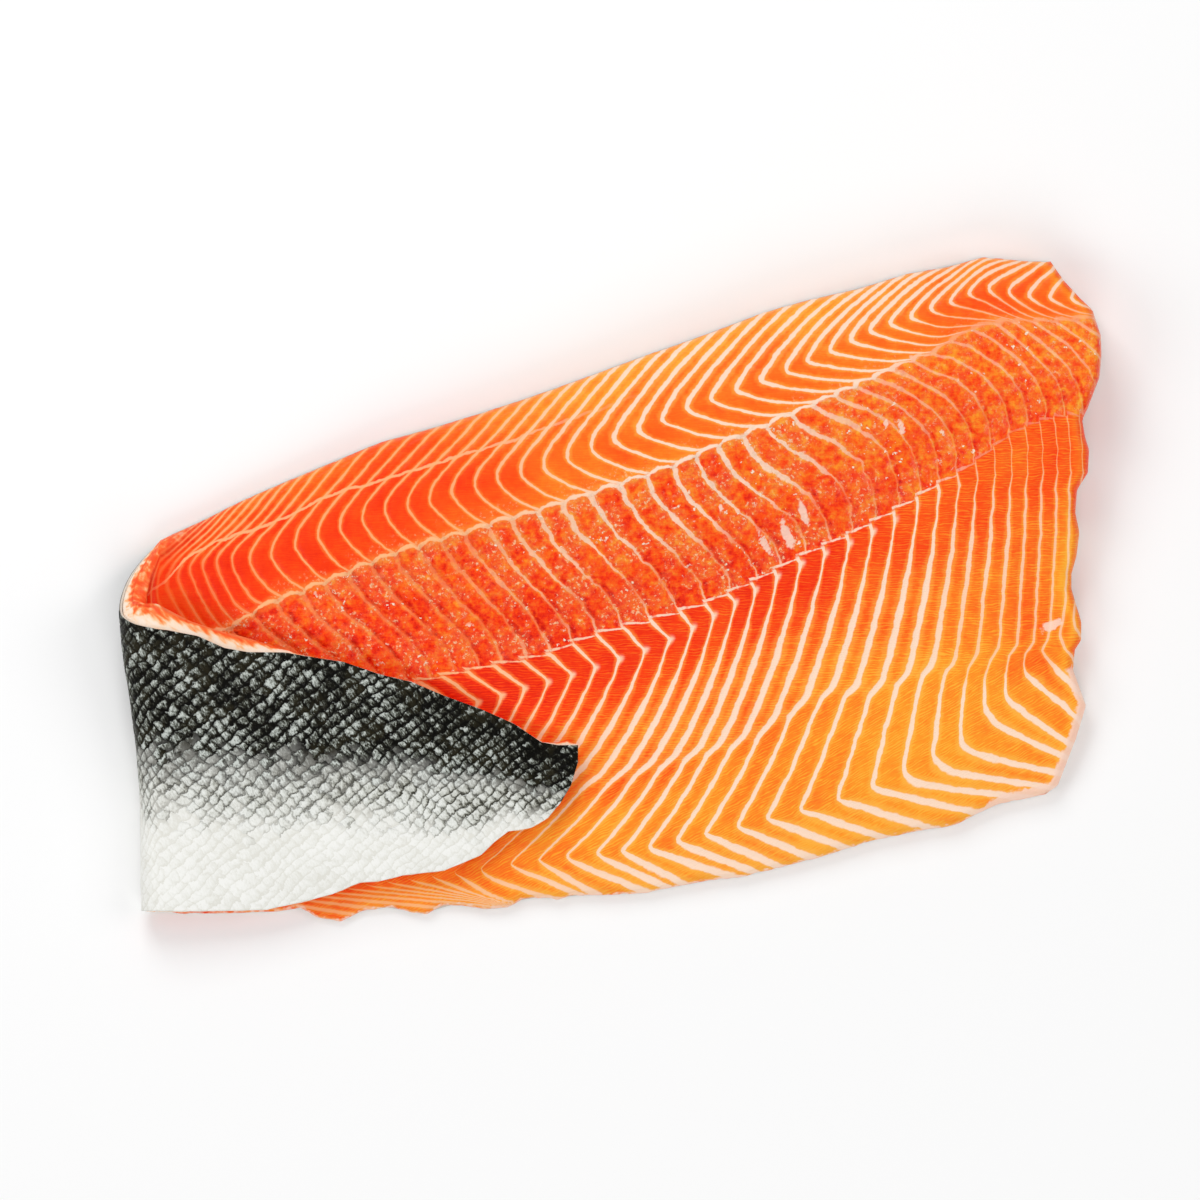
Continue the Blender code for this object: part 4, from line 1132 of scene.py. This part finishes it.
def flesh_material():
    """Salmon flesh: red to yellow flakes, white fat lines, strands and a wet film."""
    material, tree, shader = start_material("salmon flesh")
    m = flesh_layers(tree)
    white, halo = white_marks(m)
    zone, glint, gap_shade = rough_marks(m)
    strand = strands_of(m)
    grit = zone * 0.75
    flesh = flesh_colour(m, halo, zone, gap_shade, strand, over_bands(m, "Own", 1.0, 1.0, 1.0))
    flesh = blend(grit * 0.20, flesh, ROUGH_FLESH)
    # Painted shade: deep red in the pits of the rough middle, over the flesh's own red
    flesh = blend(m.wet["Pits"] * grit * 0.6, flesh, PIT_SHADE_RED)
    # Painted highlight: pale specks where the rough middle shines
    flesh = blend(m.wet["Shine"] * grit, flesh, GLINT_SPOT_WHITE)
    flesh = blend(halo * 0.30, flesh, HALO_ORANGE)
    flesh = blend(white * 0.95, flesh, blend(m.left, LINE_WHITE, LINE_WHITE_BY_FOLD))
    flesh = blend(rise(m.uneven * 0.9 + m.fat, 0.35, 0.6) * 0.85, flesh, LUMP_WHITE)
    flesh = wall_colour(m, blend(glint, flesh, GLINT_WHITE))

    damp = m.in_middle * 0.8 + 0.2
    film = damp * rise(m.patches, 0.38, 0.55, 0.0, 0.32)
    finish_material(shader, flesh, m.wet["Lumps"] * damp * -0.30 + 0.50, film, 0.10, 0.12)
    height = m.wet["Lumps"] * (m.in_middle * 0.9 + 0.15) + strand * (m.in_belly * 0.06 + 0.03)
    height += (m.wet["Shine"] - m.wet["Pits"]) * grit * 0.25
    raise_surface(shader, height + white * 0.08 + glint * 0.4 - gap_shade * 0.6, 0.6, 0.001)
    return material


# Skin colours from a scale's shaded side to its light side: back, side and belly
BACK_SCALES = [(0.14, tint(10, 9, 6)), (0.38, tint(27, 26, 20)), (0.54, tint(60, 61, 53)),
               (0.70, tint(118, 122, 114)), (0.98, tint(200, 206, 200))]
SIDE_SCALES = [(0.0, tint(66, 65, 56)), (0.26, tint(150, 150, 140)), (0.50, tint(200, 202, 194)),
               (1.0, tint(232, 234, 229))]
BELLY_SCALES = [(0.0, tint(225, 224, 216)), (0.45, tint(234, 234, 228)), (1.0, tint(243, 243, 239))]
OLIVE = tint(54, 49, 31)
SCALE_RIM = tint(9, 8, 6)
INNER_SKIN = tint(226, 212, 198)


def scale_light(m):
    """How light each place of a scale is: painted light and shade from its slope and tilt,
    its own value, clouds and grain, painted shade at its far sides, lighter towards the belly, even
    by the fold."""
    # Painted shade along each scale's far sides, where the next scale's edge overlaps it
    far_side_shade = rise(m.grain * 0.45 + m.scales["Far"], 0.66, 0.92)
    # Painted light and shade: lighter at a scale's base, darker towards its free edge, lighter or
    # darker with its tilt
    light = m.scales["Slope"] * -0.55 + m.scales["Tilt"] * 0.26 + 0.84
    light += m.own * 0.42 + (noise(m.place, 0.055, 2.0) - 0.5) * 0.8 + m.grain * 1.9
    light += rise(m.level, 0.95, 0.55) * 0.12 - far_side_shade * 0.42
    light -= rise(m.along, 135.0, 175.0) * 0.12
    return (0.50 - light) * rise(m.along, 36.0, 14.0) * 0.6 + light


def skin_colour(m, light):
    """Skin colour: the scales of back, side and belly, black rims, pale inside."""
    side = rise(rise(m.along, 95.0, 165.0) * 0.14 + m.level, 0.26, 0.46) * (1.0 - m.dark)
    olive = rise(m.drift, 0.0, 0.12) * rise(light, 0.75, 0.4)
    skin = blend(side, colour_steps(light, *BELLY_SCALES), colour_steps(light, *SIDE_SCALES))
    skin = blend(m.dark, skin, blend(olive * 0.4, colour_steps(light, *BACK_SCALES), OLIVE))
    shade = rise(m.grain * 0.22 + m.scales["Rim"], 0.12, 0.03) * rise(m.grain, -0.14, 0.06)
    skin = blend(shade * (m.dark * 0.85 + side * 0.55), skin, SCALE_RIM)
    return blend(m.inner, skin, INNER_SKIN)


def skin_material():
    """Salmon skin: near-black rims round grey scales on the back, silver below."""
    material, tree, shader = start_material("salmon skin")
    m = SimpleNamespace(place=place_in_mm(tree))
    m.along, across, _ = layer_values(tree, "scale_place")
    way, _, m.inner = layer_values(tree, "skin_tone")
    m.scales = use_effect(tree, SCALES, Along=m.along, Across=across, Place=m.place, Jagged=5.6)
    m.drift = noise(m.place, 0.10, 3.0) - 0.5
    m.own = m.scales["Own"] - 0.5
    m.grain = noise(stretch(m.place, (0.55, 1.3, 1.0), 0.5), 1.0, 4.0, 0.65) - 0.5
    m.level = m.drift * 0.16 + m.own * 0.10 + way
    m.dark = rise(m.level, 0.40, 0.62)
    shine = use_effect(tree, MOISTURE, Place=m.place)["Shine"]
    finish_material(shader, skin_colour(m, scale_light(m)), m.grain * 0.25 + 0.425,
                    shine * 0.3, 0.15, 0.05)
    height = m.scales["Relief"] * (m.dark * 0.7 + 0.04) * rise(m.level, 0.10, 0.45)
    raise_surface(shader, height + m.grain * 0.18, 0.8, 0.0005)
    return material


# The pieces
flesh = flesh_surface()
flesh.data.materials.append(flesh_material())
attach(flesh, "root")
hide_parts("flesh")

skin = skin_surface()
skin.data.materials.append(skin_material())
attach(skin, "root")
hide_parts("skin")

# Floor, light and camera
FLOOR_HALF = 3.0
FLOOR_LEVEL = -0.0004
WORLD_STRENGTH = 0.36
VIEW_CENTRE = (-0.004, -0.004)
VIEW_WIDTH = 0.432
VIEW_DISTANCE = 2.8
VIEW_LEVEL = 0.012
SENSOR_WIDTH = 36.0

corners = [(-FLOOR_HALF, -FLOOR_HALF), (FLOOR_HALF, -FLOOR_HALF),
           (FLOOR_HALF, FLOOR_HALF), (-FLOOR_HALF, FLOOR_HALF)]
floor_mesh = bpy.data.meshes.new("floor")
floor_mesh.from_pydata([(*corner, FLOOR_LEVEL) for corner in corners], [], [(0, 1, 2, 3)])
floor = bpy.data.objects.new("floor", floor_mesh)
bpy.context.scene.collection.objects.link(floor)
floor_paint, _, floor_shader = start_material("pale floor")
finish_material(floor_shader, (0.95, 0.95, 0.95, 1.0), 0.9, 0.0, 0.03, 0.1)
floor_mesh.materials.append(floor_paint)

world = bpy.data.worlds.new("studio")
bpy.context.scene.world = world
world.use_nodes = True
backdrop = world.node_tree.nodes["Background"]
backdrop.inputs["Color"].default_value = (1.0, 1.0, 1.0, 1.0)
backdrop.inputs["Strength"].default_value = WORLD_STRENGTH


def soft_light(name, spot, power, size=0.7):
    """Square area light at the spot, facing the middle of the floor."""
    light = bpy.data.lights.new(name, "AREA")
    light.shape = "SQUARE"
    light.size = size
    light.energy = power
    lamp = bpy.data.objects.new(name, light)
    bpy.context.scene.collection.objects.link(lamp)
    lamp.location = spot
    lamp.rotation_euler = Vector(spot).to_track_quat("Z", "Y").to_euler()


soft_light("light behind", (-0.35, 0.95, 0.85), 7.5)
soft_light("light left", (-1.0, -0.2, 0.85), 4.0)
soft_light("light right", (1.0, 0.1, 0.9), 4.0)
soft_light("light front", (0.2, -1.0, 0.9), 4.5)

camera_data = bpy.data.cameras.new("camera")
camera_data.sensor_width = SENSOR_WIDTH
camera_data.lens = SENSOR_WIDTH * VIEW_DISTANCE / VIEW_WIDTH
camera_data.clip_start = 0.01
camera = bpy.data.objects.new("camera", camera_data)
camera.location = (*VIEW_CENTRE, VIEW_DISTANCE + VIEW_LEVEL)
bpy.context.scene.collection.objects.link(camera)
bpy.context.scene.camera = camera
bpy.context.scene.view_settings.view_transform = "Standard"
